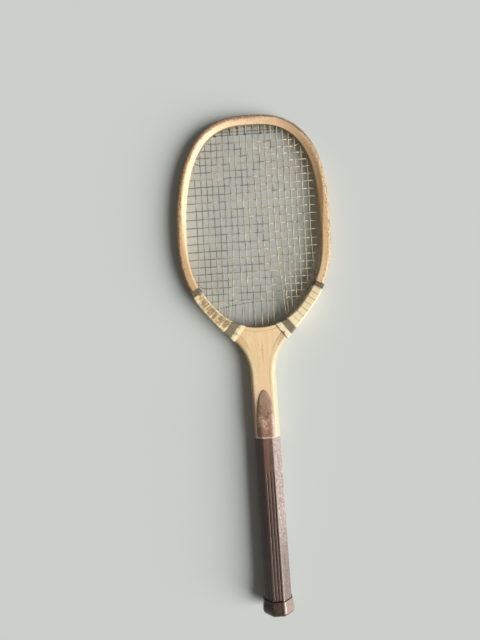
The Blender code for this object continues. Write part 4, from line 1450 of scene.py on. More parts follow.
    def seat(self, x: Any) -> Any:
        """Where along the racket the wedge's top is, under the yoke's curve, at a place across it."""
        reach = self.radius + self.yoke_thickness + self.gap
        return self.centre[1] - np.sqrt(reach**2 - np.minimum(np.abs(x), reach * self.seat_limit) ** 2)


@dataclass
class Handle:
    """The four stained scales round the tails, and the flared cap on the butt."""

    outline: Outline
    shaft_depth: float
    depth: float
    gap: float = 0.0003
    top_up: float = 0.2425
    width_top: float = 0.0356
    width_butt: float = 0.0372
    facet_top: float = 0.0136
    facet_butt: float = 0.0157
    tail_rebate: float = 0.0040
    tail_chamfer: float = 0.0034
    tongue_length: float = 0.0655
    tongue_power: float = 2.9
    tongue_tip: float = 0.0007
    tongue_ridge: float = 0.2
    tongue_round: float = 0.0055
    tongue_round_share: float = 0.15
    tongue_spread: float = 0.0009
    tongue_shift: float = -0.0005
    tongue_shift_share: float = 0.04
    flute_count: int = 3
    flute_pitch: float = 0.0041
    flute_width: float = 0.0024
    flute_depth: float = 0.0012
    flute_start: float = 0.0455
    flute_points: int = 9
    flute_tip: float = 0.02
    edge_round: float = 0.0011
    seat_round: float = 0.0001
    round_steps: int = 4
    ring_counts: tuple[int, int, int, int] = (50, 8, 14, 34)
    ring_gap: float = 0.0004
    side_rings: int = 40
    side_end: float = 0.0012
    side_shrink: float = 0.012
    front_grain: tuple[float, float, float] = (0.5, 0.2, 0.0)
    side_grain: tuple[float, float, float] = (0.5, 0.1, 0.0)
    cap_length: float = 0.0203
    cap_floor: float = 0.003
    cap_wall: float = 0.0012
    cap_flare: float = 0.0014
    cap_land: float = 0.0025
    cap_round: float = 0.0045
    cap_dome: float = 0.0068
    cap_corner: float = 0.0022
    cap_rings: int = 9
    cap_turn_in: float = 0.0003
    cap_lip: tuple[tuple[float, float], ...] = ((-0.0004, 0.0), (-0.0001, -0.0002), (0.0, -0.0006))
    cap_flare_from: float = 0.15

    @property
    def rise(self) -> float:
        """How far the handle's front stands off the shaft's."""
        return self.depth / 2 - self.shaft_depth / 2 - self.gap

    def share(self, up: Any) -> Any:
        """How far from the butt to the handle's start a place is, from 0 to 1."""
        return (np.asarray(up) - self.outline.wood_end_up) / (self.top_up - self.outline.wood_end_up)

    def half(self, up: Any) -> Any:
        """Half the handle's width."""
        return (self.width_butt + (self.width_top - self.width_butt) * self.share(up)) / 2

    def facet(self, up: Any) -> Any:
        """Half the front facet's width."""
        return (self.facet_butt + (self.facet_top - self.facet_butt) * self.share(up)) / 2

    def on_tongue(self, up: Any) -> Any:
        """How far along the tongue a place is, from 0 at the handle's start to 1 at its tip."""
        return np.clip((np.asarray(up) - self.top_up) / self.tongue_length, 0, 1)

    def foot(self, up: Any) -> Any:
        """Half the front scale's width where it lies on the shaft: full below, an arch on the tongue."""
        share = self.on_tongue(up)
        full = self.facet(np.minimum(up, self.top_up)) + self.rise
        full = full + self.tongue_spread * smooth(0.0, self.tongue_shift_share, share)
        return np.maximum(full * np.sqrt(1 - share**self.tongue_power), self.tongue_tip)

    def scale_ups(self) -> Array:
        """Where the front scale's sections stand: closer at the flutes' ends and on the tongue.

        Returns:
            How far up each section stands.
        """
        below, turning, above, beyond = self.ring_counts
        end = self.top_up - self.flute_start
        turn = end - self.flute_width / 2 * (1 - np.sin(np.linspace(0, QUARTER, turning)))
        tongue = self.top_up + self.tongue_length * np.sin(np.linspace(0, QUARTER, beyond))
        return np.concatenate([np.linspace(self.outline.wood_end_up, turn[0], below)[:-1], turn,
                               np.linspace(end + self.ring_gap, self.top_up, above)[:-1], tongue])

    def build_scale(self, face: Face) -> Piece:
        """Makes the front or back scale: a facet with flutes, and a tongue on the shaft.

        Args:
            face: which of the two.

        Returns:
            The piece.
        """
        ups = self.scale_ups()
        share, foot, base = self.on_tongue(ups), self.foot(ups), self.shaft_depth / 2 + self.gap
        height = self.rise + (self.tongue_tip - self.rise) * share
        top = np.maximum(foot - height, foot * self.tongue_ridge)
        corners = sections([(-foot, base), (foot, base), (top, base + height), (-top, base + height)])
        soft = smooth(0.0, self.tongue_round_share, share)
        soft = self.edge_round + (self.tongue_round - self.edge_round) * soft
        radii = np.column_stack([np.full((len(ups), 2), self.seat_round), soft, soft])
        outline = rounded(corners, radii, self.round_steps)
        half = 3 * (self.round_steps + 1)
        flat = top - np.minimum(soft, 0.9 * top)
        fluted = self.flutes(ups, flat, base + height)
        rings = np.concatenate([outline[:, :half], fluted, outline[:, half:]], axis=1)
        shift = self.tongue_shift * smooth(0.0, self.tongue_shift_share, share)
        places = upright(rings[:, :, 0] + shift[:, None], ups, face.value * rings[:, :, 1])
        grain = places[:, :, (1, 0, 2)] + self.front_grain
        return Body().loft(places, grain).piece(f"{face.word}_scale", True)

    def flutes(self, ups: Array, flat: Array, level: Array) -> Array:
        """The facet's points between its two edges, sunk into round-bottomed flutes.

        Args:
            ups: where the sections stand.
            flat: half the width of the facet's flat part there.
            level: its height.

        Returns:
            (sections, points, 2) places from right to left.
        """
        radius = self.flute_width / 2
        closing = np.clip((ups - (self.top_up - self.flute_start - radius)) / radius, 0, 1)
        size = np.sqrt(1 - closing**2)
        squeeze = np.minimum(flat / (self.facet(self.top_up) - self.edge_round), 1.0)
        places = []
        for k in reversed(range(self.flute_count)):
            centre = (k - (self.flute_count - 1) / 2) * self.flute_pitch
            for angle in np.linspace(0, math.pi, self.flute_points):
                x = centre + radius * np.maximum(size, self.flute_tip) * math.cos(angle)
                places.append((x * squeeze, level - self.flute_depth * size * math.sin(angle)))
        return sections(places)

    def build_side(self, side: Side) -> Piece:
        """Makes a side scale: it fills the octagon beside the thinned tail.

        Args:
            side: left or right.

        Returns:
            The piece.
        """
        turn, end = self.side_end / 2, self.top_up - self.side_end
        ups = np.concatenate([np.linspace(self.outline.wood_end_up, end, self.side_rings),
                              end + turn - turn * np.cos(np.linspace(0.6, QUARTER, 4))])
        inner = self.outline.shaft_width / 2 - self.tail_rebate + self.gap
        half, facet, d = self.half(ups), self.facet(ups), self.shaft_depth / 2
        edge, brow = facet + self.depth / 2 - half, facet + self.depth / 2 - d
        lap, low = inner - self.tail_chamfer + self.gap / 2, d - self.tail_chamfer
        corners = sections([(half, -edge), (half, edge), (brow, d), (lap, d), (inner, low), (inner, -low),
                            (lap, -d), (brow, -d)])
        section = rounded(corners, [self.edge_round] * 2 + [self.seat_round] * 6, self.round_steps)
        shrink = 1 - self.side_shrink * smooth(end - 0.0001, end + turn, ups)[:, None]
        places = upright(side.value * section[:, :, 0] * shrink, ups, section[:, :, 1])
        grain = places[:, :, (1, 2, 0)] + self.side_grain
        return Body().loft(places, grain).piece(f"{side.word}_scale", True)

    def octagon(self, grow: float, up: float) -> Array:
        """The cap's outline at one place: the handle's at the butt, grown all round.

        Args:
            grow: how much it is grown.
            up: how far up it is.

        Returns:
            (points, 3) places.
        """
        corner = grow * math.tan(math.pi / 8)
        facet, wide, deep = self.facet_butt / 2 + corner, self.width_butt / 2 + grow, self.depth / 2 + grow
        edge = facet + deep - wide
        right = [(facet, deep), (wide, edge), (wide, -edge), (facet, -deep)]
        places = np.array([[*right, *((-x, z) for x, z in right[::-1])]])
        section = rounded(places, [self.cap_corner] * 8, 5)
        return upright(section[:, :, 0], np.array([up]), section[:, :, 1])[0]

    def build_cap(self) -> Piece:
        """Makes the cap: a flared cup with a soft lip and a well rounded end.

        Returns:
            The piece.
        """
        wall = self.gap + self.cap_wall
        full, land, end = wall + self.cap_flare, self.cap_dome + self.cap_land, self.cap_length
        profile = [(self.gap, self.cap_floor), (self.gap, end - self.cap_turn_in),
                   (self.gap + self.cap_turn_in, end), *((wall + x, end + y) for x, y in self.cap_lip)]
        profile += [(wall + self.cap_flare * smooth(0, 1, share), end * (1 - share) + land * share)
                    for share in np.linspace(self.cap_flare_from, 1, self.cap_rings)]
        profile += [(full - self.cap_round * (1 - math.cos(turn)), self.cap_dome * (1 - math.sin(turn)))
                    for turn in np.linspace(0, QUARTER, self.cap_rings)]
        return Body().loft(np.array([self.octagon(*place) for place in profile])).piece("leather_cap", True)


@dataclass
class Bindings:
    """The tapes and thread whippings wound round the two shoulders, one after another from the throat."""

    throat: Throat
    start_up: float = 0.3768
    gap: float = 0.0011
    snug: float = 0.0005
    short_run: float = 0.00735
    lower_run: float = 0.00935
    long_run: float = 0.0628
    upper_run: float = 0.0062
    wood_corner: float = 0.0014
    corner_share: float = 0.3
    corner_steps: int = 4
    flat_steps: int = 3
    thread: float = 0.00062
    thread_pitch: float = 1.04
    thread_drift: float = 0.10
    thread_sides: int = 7
    lift: float = 0.00008
    tape_thickness: float = 0.00034
    tape_slope: float = 1.3
    tape_ragged: float = 0.00022
    lean_throat: float = 0.0036
    lean_head: float = 0.0006
    lean_reach: float = 0.085
    long_width: float = 0.0099
    long_turns: int = 7
    short_width: float = 0.0058
    short_turns: int = 2
    tape_points: int = 7

    def stretches(self, side: Side) -> dict[str, tuple[float, float]]:
        """Where each binding lies on one side: the run nearest the throat, then the one nearest the crown.

        Args:
            side: left or right.

        Returns:
            The two runs of each, by name.
        """
        start = self.throat.bow.outline.run_at(side, self.start_up)
        found = {}
        for name, run in (("short", self.short_run), ("lower", self.lower_run),
                          ("long", self.long_run), ("upper", self.upper_run)):
            found[name] = (start, start - side.value * run)
            start = found[name][1] - side.value * self.gap
        return found

    def turns(self, count: int) -> tuple[Array, Array, Array]:
        """A winding's points, as the turn that each is in, its corner of the wood and its angle there.

        Args:
            count: how many times it goes round.

        Returns:
            The turns done, the corners from 0 to 4, and the angles. The winding starts and ends in the
            middle of the wood's back and goes over the outer edge, the front and the inner edge.
        """
        bend = np.linspace(0, 1, self.corner_steps + 1)
        corner = np.repeat(np.arange(4), len(bend))
        bend = np.tile(bend, 4)
        one = (corner + 0.5 + (bend - 0.5) * self.corner_share) / 4
        done = np.concatenate([[0.0], *(one + k for k in range(count)), [float(count)]])
        corners = np.concatenate([[0], np.tile(corner, count), [3]])
        angles = np.concatenate([[math.pi], np.tile(math.pi + QUARTER * (corner + bend), count), [math.pi]])
        return done, corners, angles

    def off_corner(self, runs: Array, corners: Array, angles: Array, lift: Any) -> tuple[Array, Array, Array]:
        """Places on the rounded corners of the wood.

        Args:
            runs: where they are along the bow.
            corners: which corner of the wood, from the outer back one over the front.
            angles: the direction from that corner's centre, pi being straight back.
            lift: how far off the wood.

        Returns:
            The wood's thickness there, how far in the places are, and their heights.
        """
        inner, front = np.isin(corners, (2, 3)), np.isin(corners, (1, 2))
        wall, r, d = self.throat.wall(runs), self.wood_corner, self.throat.bow.depth / 2
        u = np.where(inner, wall - r, r) + (r + lift) * np.sin(angles)
        z = np.where(front, d - r, r - d) + (r + lift) * np.cos(angles)
        return wall, u, z

    def on_wood(self, runs: Array, corners: Array, angles: Array, lift: Any) -> Array:
        """Places of a thread round the wood, (places, 3), with its ends in the middle of the back.

        Args:
            runs: where they are along the bow.
            corners: which corner of the wood each is on.
            angles: the direction from that corner's centre.
            lift: how far off the wood.

        Returns:
            The places.
        """
        ends = [0, -1]
        share = np.where(np.isin(corners, (2, 3)), 1.0, 0.0)
        share[ends] = 0.5
        runs = self.leaning(runs, share)
        wall, u, z = self.off_corner(runs, corners, angles, lift)
        u[ends] = wall[ends] / 2
        return self.throat.bow.outline.at(runs, u, z)

    def leaning(self, runs: Any, share: Any) -> Any:
        """Moves runs towards the crown, as the windings do between the two edges of the spreading wood.

        Args:
            runs: places along the bow.
            share: how far in each is, from 0 at the outer edge to 1 at the inner one.

        Returns:
            The moved runs.
        """
        line = self.throat.bow.outline
        runs = np.asarray(runs, float)
        left, right = (line.run_at(side, self.start_up) for side in Side)
        side = np.where(runs < line.crown_run, 1.0, -1.0)
        past = np.clip((runs - np.where(side > 0, left, right)) * side / self.lean_reach, 0, 1)
        lean = self.lean_throat + (self.lean_head - self.lean_throat) * past
        return runs + side * lean * np.clip(share, 0, 1)

    def advance(self, done: Array, count: int, low: float, high: float) -> Array:
        """How a winding moves along the bow: its first and last half turns lie square to it."""
        return low + (high - low) * np.clip((done - 0.5) / (count - 1), 0, 1)

    def build_threads(self, side: Side, name: str, stretch: tuple[float, float]) -> Piece:
        """Makes a whipping of thread, turn beside turn.

        Args:
            side: left or right.
            name: upper or lower.
            stretch: where it lies.

        Returns:
            The piece.
        """
        low, high = stretch
        count = max(2, round(abs(high - low) / (self.thread * self.thread_pitch)))
        done, corners, angles = self.turns(count)
        margin = math.copysign(self.thread / 2 - self.snug, (high - low) * (self.thread / 2 - self.snug))
        runs = self.advance(done, count, high - margin, low + margin)
        draw = random.Random(f"{name}{side.word}")
        drift = np.array([draw.uniform(-1, 1) for _ in range(count + 2)]) * self.thread * self.thread_drift
        runs = runs + np.interp(done, np.arange(count + 2), drift)
        path = self.on_wood(runs, corners, angles, self.lift + self.thread / 2)
        return Body().tube(path, self.thread / 2, self.thread_sides).piece(f"{name}_whipping_{side.word}")

    def build_tape(self, side: Side, name: str, stretch: tuple[float, float]) -> Piece:
        """Makes a wound tape, its turns lapped towards the throat on the left and the crown on the right.

        Args:
            side: left or right.
            name: long or short.
            stretch: where it lies.

        Returns:
            The piece.
        """
        width, count = ((self.long_width, self.long_turns) if name == "long" else
                        (self.short_width, self.short_turns))
        low, high = stretch
        forward, half, t = math.copysign(1, high - low), width / 2, self.tape_thickness
        done, _, _ = self.turns(count)
        grid = np.arange(len(done))
        done = np.interp(np.linspace(0, len(done) - 1, (len(done) - 1) * self.flat_steps + 1), grid, done)
        margin = forward * (half - self.snug)
        places = self.advance(done, count, high - margin, low + margin)
        draw = np.array([[waver(place * 90, s * 200, side.value * 5 + len(name)) for s in (0.0, 1.0)]
                         for place in np.arange(len(places)) * 0.012])
        across = np.linspace(-half, half, self.tape_points)
        columns, grain = [], []
        for k, s in enumerate([*across, *across[::-1]]):
            ragged = self.tape_ragged * draw[:, 0 if s < 0 else 1] * (abs(s) > half * 0.9)
            lift = self.lift + self.tape_slope * t * (0.5 - side.value * s / width)
            runs = places - forward * (s + ragged)
            columns.append(self.on_flats(runs, done, lift + (t if k >= self.tape_points else 0.0)))
            grain.append(np.column_stack([np.abs(runs - low), np.full(len(done), s), np.mod(done, 1.0)]))
        wound = Body().loft(np.stack(columns, axis=1), np.stack(grain, axis=1))
        return wound.piece(f"{name}_tape_{side.word}")

    def on_flats(self, runs: Array, done: Array, lift: float) -> Array:
        """Places on the wood, its flats between the rounded corners included.

        Args:
            runs: where they are along the bow.
            done: the turns done.
            lift: how far off the wood.

        Returns:
            (places, 3).
        """
        quarter = np.mod(done, 1.0) * 4
        index = np.floor(quarter).astype(int) % 4
        slide = np.mod(quarter, 1.0) - 0.5
        bend = self.corner_share / 2
        angle = math.pi + QUARTER * (index + np.clip(slide / self.corner_share + 0.5, 0, 1))
        inner, front = np.isin(index, (2, 3)), np.isin(index, (1, 2))
        on_face = (slide < 0) == np.isin(index, (0, 2))
        left = np.clip(np.abs(slide) - bend, 0, None) / (0.5 - bend)
        runs = self.leaning(runs, np.where(inner, 1.0, 0.0) + np.where(inner, -0.5, 0.5) * on_face * left)
        wall, u, z = self.off_corner(runs, index, angle, lift)
        room, height = (wall - 2 * self.wood_corner) / 2, self.throat.bow.depth / 2 - self.wood_corner
        u = u + on_face * np.where(inner, -1, 1) * room * left
        z = z + ~on_face * np.where(front, -1, 1) * height * left
        return self.throat.bow.outline.at(runs, u, z)


@dataclass(frozen=True)
class Hole:
    """A string's way through the wood: its mouth in the head, its outer end, and its run on the bow."""

    mouth: Array
    out: Array
    run: float | None


@dataclass
class StringBed:
    """The laced and woven gut: mains and crosses, and the holes that they run through."""

    throat: Throat
    bindings: Bindings
    diameter: float = 0.0014
    main_count: int = 20
    main_spacing: float = 0.00815
    middle_gap: float = 0.0098
    main_centre: float = 0.0010
    main_lean: float = 0.015
    lean_up: float = 0.530
    cross_count: int = 22
    cross_low: float = 0.433
    cross_high: float = 0.651
    cross_bulge: float = 0.10
    hole_height: float = 0.0030
    mouth_share: float = 0.35
    hole_radius: float = 0.0009
    hole_spacing: float = 0.0026
    hole_step: float = 0.0002
    hole_sides: int = 10
    hole_turn: float = 0.27
    bore_ends: tuple[float, float] = (0.0018, 0.0012)
    yoke_exit: float = 0.6
    pocket_room: float = 0.0003
    band_margin: float = 0.0004
    side_margin: float = 0.004
    drawn_from_up: float = 0.57
    fan: float = 0.0060
    fan_from: float = 0.029
    fan_to: float = 0.054
    loop_depth: float = 0.0012
    loop_step: float = 0.003
    loop_bend: float = 0.0009
    lacing_half: float = 0.024
    weave: float = 0.00075
    weave_shares: tuple[float, ...] = (0.0, 0.22, 0.5, 0.78)
    margin: float = 0.0030
    tail: float = 0.006
    wander: float = 0.0007
    holes: dict[str, list[Hole]] = field(init=False)
    taken: list[float] = field(init=False)
    grid: Array = field(init=False)

    def __post_init__(self) -> None:
        """Drills every hole, from the middle outwards, so that later ones keep clear of earlier ones."""
        self.taken = []
        mains, crosses = range(self.main_count), range(self.cross_count)
        order = sorted(mains, key=lambda k: abs(k - (self.main_count - 1) / 2))
        found = {k: (self.main_hole(k, True), self.main_hole(k, False)) for k in order}
        self.holes = {"top": [found[k][0] for k in mains], "bottom": [found[k][1] for k in mains]}
        sides = [[self.cross_hole(j, side) for side in Side] for j in crosses]
        self.holes.update({side.word: [pair[n] for pair in sides] for n, side in enumerate(Side)})
        self.grid = np.array([[self.crossing(k, j) for j in crosses] for k in mains])

    def main_at(self, k: int, y: float) -> float:
        """How far across a main is at a place along the racket."""
        step = k - (self.main_count - 1) / 2
        across = self.main_centre + step * self.main_spacing
        across += math.copysign((self.middle_gap - self.main_spacing) / 2, step)
        return across + self.main_lean * (y + LENGTH / 2 - self.lean_up)

    def landing(self, k: int, y: float) -> float:
        """How far across a main is wanted at the wood: those past the whippings fan outwards."""
        across = self.main_at(k, y)
        share = (self.fan_to - abs(across)) / (self.fan_to - self.fan_from)
        fanned = self.fan * min(share, 1.0) if share > 0 and abs(across) > self.lacing_half else 0.0
        return across + math.copysign(fanned, across)

    def cross_y(self, j: int) -> float:
        """Where a cross lies along the racket: the spacing is widest in the middle."""
        share = j / (self.cross_count - 1)
        share -= self.cross_bulge * math.sin(math.tau * share) / math.tau
        return self.cross_low + (self.cross_high - self.cross_low) * share - LENGTH / 2

    def crossing(self, k: int, j: int) -> tuple[float, float]:
        """Where a main and a cross meet: both have wandered a little from their straight lines."""
        y = self.cross_y(j)
        x = self.main_at(k, y) + self.drawn_aside(k, y)
        drift, sag = waver(k * 7.3, y * 16, 0.5), waver(x * 18, j * 5.1, 7.5)
        return x + self.wander * drift, y + self.wander * sag

    def drawn_aside(self, k: int, y: float) -> float:
        """How far a main is drawn across at a place, as its bottom hole stands clear of the whippings."""
        mouth = self.holes["bottom"][k].mouth
        start = self.drawn_from_up - LENGTH / 2
        share = min(max((start - y) / (start - mouth[1]), 0.0), 1.0)
        return (mouth[0] - self.main_at(k, mouth[1])) * share**2

    def free_run(self, wanted: float) -> float:
        """The next run towards the crown that is clear of whippings and of the holes made before.

        Args:
            wanted: the run where a hole should be.

        Returns:
            The run where it can be.
        """
        bands = [sorted((stretch[0], float(self.bindings.leaning(stretch[1], 1.0)))) for side in Side
                 for name, stretch in self.bindings.stretches(side).items() if name != "long"]
        step = math.copysign(self.hole_step, self.throat.bow.outline.crown_run - wanted)
        run = wanted
        while (any(low - self.band_margin < run < high + self.band_margin for low, high in bands)
               or any(abs(run - other) < self.hole_spacing for other in self.taken)):
            run += step
        return run

    def bow_hole(self, wanted: float, level: int) -> Hole:
        """Drills a hole square to the bow.

        Args:
            wanted: the run where it should be.
            level: 1 for the front row, which the mains use, or -1 for the back row.

        Returns:
            The hole.
        """
        run = self.free_run(wanted)
        self.taken.append(run)
        height = level * self.hole_height
        mouth, out = (self.throat.bow.outline.at(run, offset, high)[0] for offset, high in (
            (self.throat.wall(run), height * self.mouth_share), (self.loop_depth, height)))
        return Hole(mouth, out, run)

    def yoke_hole(self, across: float) -> Hole:
        """Drills a hole through the yoke into the wedge's pockets, where a main comes down.

        Args:
            across: how far across the main is.

        Returns:
            The hole.
        """
        throat = self.throat
        angle = math.asin(across / throat.radius)
        down = np.array((math.sin(angle), -math.cos(angle)))
        through = throat.yoke_thickness + throat.gap + self.diameter * self.yoke_exit
        mouth, out = (throat.centre + down * reach for reach in (throat.radius, throat.radius + through))
        return Hole(np.array((*mouth, MID + self.hole_height * self.mouth_share)),
                    np.array((*out, MID + self.hole_height)), None)

    def main_hole(self, k: int, top: bool) -> Hole:
        """Drills a main's top or bottom hole.

        Args:
            k: which main.
            top: whether the top hole is wanted.

        Returns:
            The hole.
        """
        line, throat = self.throat.bow.outline, self.throat
        across = self.main_at(k, throat.seat(0.0))
        if not top and abs(across) < self.lacing_half:
            return self.yoke_hole(across)
        place = self.main_at if top else self.landing
        low, high = (line.run_at(side, line.widest_up - self.side_margin) for side in Side)
        if not top:
            side = Side.LEFT if self.main_at(k, 0.0) < 0 else Side.RIGHT
            low, high = line.run_at(side, self.bindings.start_up), low if side is Side.LEFT else high

        def miss(run: float) -> float:
            """How far right of the main's wanted place a run's mouth is."""
            mouth = throat.mouth(run)
            return mouth[0] - place(k, mouth[1])

        return self.bow_hole(line.find(low, high, miss), 1)

    def cross_hole(self, j: int, side: Side) -> Hole:
        """Drills a cross's hole on one side."""
        line, y = self.throat.bow.outline, self.cross_y(j)
        low = line.run_at(side, self.bindings.start_up)
        return self.bow_hole(line.find(low, line.crown_run, lambda run: self.throat.mouth(run)[1] - y), -1)

    def drills(self) -> Body:
        """The shapes of all the holes, a little longer than the wood is thick.

        Returns:
            A body with one shape for each hole.
        """
        body = Body()
        angles = (np.arange(self.hole_sides) + self.hole_turn) * math.tau / self.hole_sides
        for hole in (hole for row in self.holes.values() for hole in row):
            axis = hole.out - hole.mouth
            axis /= np.linalg.norm(axis)
            ring = circle(angles, *square_to(axis)) * self.hole_radius
            before, after = self.bore_ends
            body.loft(np.array([hole.mouth - axis * before + ring, hole.out + axis * after + ring]))
        return body

    def pockets(self) -> Body:
        """The shapes of the slots in the wedge for the mains' loops.

        Returns:
            A body with one shape for each pair of mains.
        """
        outs = [hole.out for hole in self.holes["bottom"] if hole.run is None]
        room = self.diameter / 2 + self.pocket_room
        body = Body()
        for a, b in zip(outs[::2], outs[1::2]):
            along = (b - a) / np.linalg.norm(b - a)
            up, high = np.array((-along[1], along[0], 0.0)) * room, np.array((0.0, 0.0, room))
            ring = np.array([up * s + high * t for s, t in ((-1, -2), (-1, 2), (4, 2), (4, -2))])
            body.loft(np.array([a - along * 2 * room + ring, b + along * 2 * room + ring]))
        return body

    def undulating(self, marks: list[Array]) -> Array:
        """Points of a string that rises and falls smoothly from each mark on its way to the next.

        Args:
            marks: where it passes, with its heights there.

        Returns:
            (points, 3) along it.
        """
        made = []
        for start, end in zip(marks, marks[1:]):
            for share in self.weave_shares:
                point = start + (end - start) * share
                point[2] = start[2] + (end[2] - start[2]) * (1 - math.cos(math.pi * share)) / 2
                made.append(point)
        return np.array([*made, marks[-1]])

    def meets(self, k: int, j: int) -> bool:
        """Whether a main and a cross meet inside the head."""
        x, y = self.grid[k, j]
        top, bottom = self.holes["top"][k].mouth[1], self.holes["bottom"][k].mouth[1]
        left, right = self.holes["left"][j].mouth[0], self.holes["right"][j].mouth[0]
        return bottom + self.margin < y < top - self.margin and left + self.margin < x < right - self.margin

    def span(self, first: Hole, last: Hole, crossings: Sequence[tuple[int, int]], front: int) -> Array:
        """A string from hole to hole, without its two ends, over one crossing and under the next.

        Args:
            first: the hole that it comes from.
            last: the hole that it goes to.
            crossings: the pairs of main and cross that it may pass.
            front: 1 if it lies in front at odd pairs, or -1 if it does at even ones.

        Returns:
            Points along it.
        """
        marks = [np.array((*self.grid[k, j], MID + front * self.weave * (1 if (k + j) % 2 else -1)))
                 for k, j in crossings if self.meets(k, j)]
        return self.undulating([first.mouth, *marks, last.mouth])[1:-1]

    def loop(self, first: Hole, second: Hole) -> Array:
        """The string outside the wood, from one hole's mouth to the next one's.

        Args:
            first: the hole that it leaves by.
            second: the hole that it comes back through.

        Returns:
            Points along it.
        """
        between = []
        if first.run is not None and second.run is not None:
            count = max(3, math.ceil(abs(second.run - first.run) / self.loop_step))
            runs = np.linspace(first.run, second.run, count)[1:-1]
            between = list(self.throat.bow.outline.at(runs, self.loop_depth, first.out[2] - MID))
        path = [first.mouth, first.out, *between, second.out, second.mouth]
        return bend_round(np.array(path), self.loop_bend)

    def string_end(self, hole: Hole, direction: int) -> Array:
        """A string's tail: through its hole and a little way along the groove."""
        line, run = self.throat.bow.outline, hole.run + direction * self.tail
        last = line.at(run, self.loop_depth, hole.out[2] - MID)[0]
        return bend_round(np.array([hole.mouth, hole.out, last]), self.loop_bend)

    def lace(self, name: str, ends: tuple[str, str], rows: list[list[tuple[int, int]]], front: int) -> Piece:
        """Makes one length of gut that runs back and forth through its holes.

        Args:
            name: the piece's name.
            ends: the rows of holes that it starts from and crosses to.
            rows: the pairs of main and cross along each of its runs.
            front: 1 if it lies in front at odd pairs, or -1 if it does at even ones.

        Returns:
            The piece.
        """
        path, arriving = [], None
        for n, crossings in enumerate(rows):
            way = 1 if n % 2 == 0 else -1
            leaving, last = (self.holes[end][n] for end in ends[::way])
            path.append(self.loop(arriving, leaving)[1:] if arriving else
                        self.string_end(leaving, front)[::-1])
            path.append(self.span(leaving, last, crossings[::way], front))
            arriving = last
        path.append(self.string_end(arriving, -front))
        return Body().tube(np.concatenate(path), self.diameter / 2).piece(name)

    def build_mains(self) -> Piece:
        """Makes the long strings, one laced length of gut."""
        rows = [[(k, j) for j in range(self.cross_count)] for k in range(self.main_count)]
        return self.lace("laced_mains", ("bottom", "top"), rows, 1)

    def build_crosses(self) -> Piece:
        """Makes the cross strings, one laced length of gut."""
        rows = [[(k, j) for k in range(self.main_count)] for j in range(self.cross_count)]
        return self.lace("laced_crosses", ("left", "right"), rows, -1)


@dataclass
class Trebling:
    """A thin row across the mains, with thin strands from it to the wood and the knots that hold them."""

    bed: StringBed
    name: str
    row_ups: Sequence[Callable[[float], float]]
    strands: Sequence[float]
    doubled: bool
    at_crown: bool
    reach: tuple[float, float]
    diameter: float = 0.0007
    sides: int = 6
    row_marks: int = 19
    row_height: float = 0.0007
    spread: float = 0.00052
    strand_lean: float = 0.0003
    strand_bend: float = 0.003
    strand_start: float = 0.0004
    strand_heights: tuple[float, float, float] = (-0.0002, 0.0002, 0.0001)
    sunk: float = 0.004
    knot_turns: float = 2.2
    knot_steps: int = 10
    knot_pitch: float = 0.95
    row_knot: float = 0.00085
    edge_knot: float = 0.00115
    edge_knot_in: float = 0.0012
    seed: int = 3

    def edge_y(self, across: float) -> float:
        """Where the wood's inner edge is, above or below a place in the head.

        Args:
            across: how far across the place is.

        Returns:
            How far along the racket the edge is.
        """
        throat = self.bed.throat
        if not self.at_crown and abs(across) < throat.radius * math.sin(throat.horn_angle):
            return throat.centre[1] - math.sqrt(throat.radius**2 - across**2)
        line = throat.bow.outline
        left, right = (line.run_at(side, line.widest_up) for side in Side)
        return float(throat.mouth(line.find(left, right, lambda run: throat.mouth(run)[0] - across))[1])

    def row_points(self, row_up: Callable[[float], float]) -> Array:
        """A row, over one main and under the next."""
        return self.bed.undulating([
            np.array((across, row_up(across) - LENGTH / 2, MID + self.row_height * (1 if n % 2 else -1)))
            for n, across in enumerate(np.linspace(*self.reach, self.row_marks))])

    def knot(self, centre: Sequence[float], radius: float, along: Sequence[float]) -> Array:
        """A few turns of thin gut round a place.

        Args:
            centre: the middle of the knot.
            radius: of the turns.
            along: the direction that the turns go round.

        Returns:
            Points along it.
        """
        axis = np.array(along) / np.linalg.norm(along)
        turns = np.arange(int(self.knot_turns * self.knot_steps) + 1) / self.knot_steps
        slide = (turns - self.knot_turns / 2) * self.diameter * self.knot_pitch
        return np.array(centre) + np.outer(slide, axis) + circle(turns * math.tau, *square_to(axis)) * radius

    def build(self) -> Piece:
        """Makes the row, its strands and knots.

        Returns:
            The piece.
        """
        draw = random.Random(self.seed)
        inward = -1 if self.at_crown else 1
        paths = [self.row_points(row_up) for row_up in self.row_ups]
        for across in self.strands:
            y_row, y_wood = self.row_ups[0](across) - LENGTH / 2, self.edge_y(across)
            y_edge = y_wood - inward * self.sunk
            for shift in ((-1, 1) if self.doubled else (0,)):
                lean = draw.uniform(-self.strand_lean, self.strand_lean)
                x = across + shift * self.spread
                low, middle, high = (MID + height for height in self.strand_heights)
                path = [(x, y_row + inward * self.strand_start, low),
                        (x + lean, (y_row + y_edge) / 2, middle), (x, y_edge, high)]
                paths.append(bend_round(np.array(path), self.strand_bend))
            paths.append(self.knot((across, y_row, MID), self.row_knot, (1.0, 0.1, 0.0)))
            if self.doubled:
                centre = (across, y_wood + inward * self.edge_knot_in, MID)
                paths.append(self.knot(centre, self.edge_knot, (0.05, 1.0, 0.0)))
        body = Body()
        for path in paths:
            body.tube(path, self.diameter / 2, self.sides)
        return body.piece(self.name)


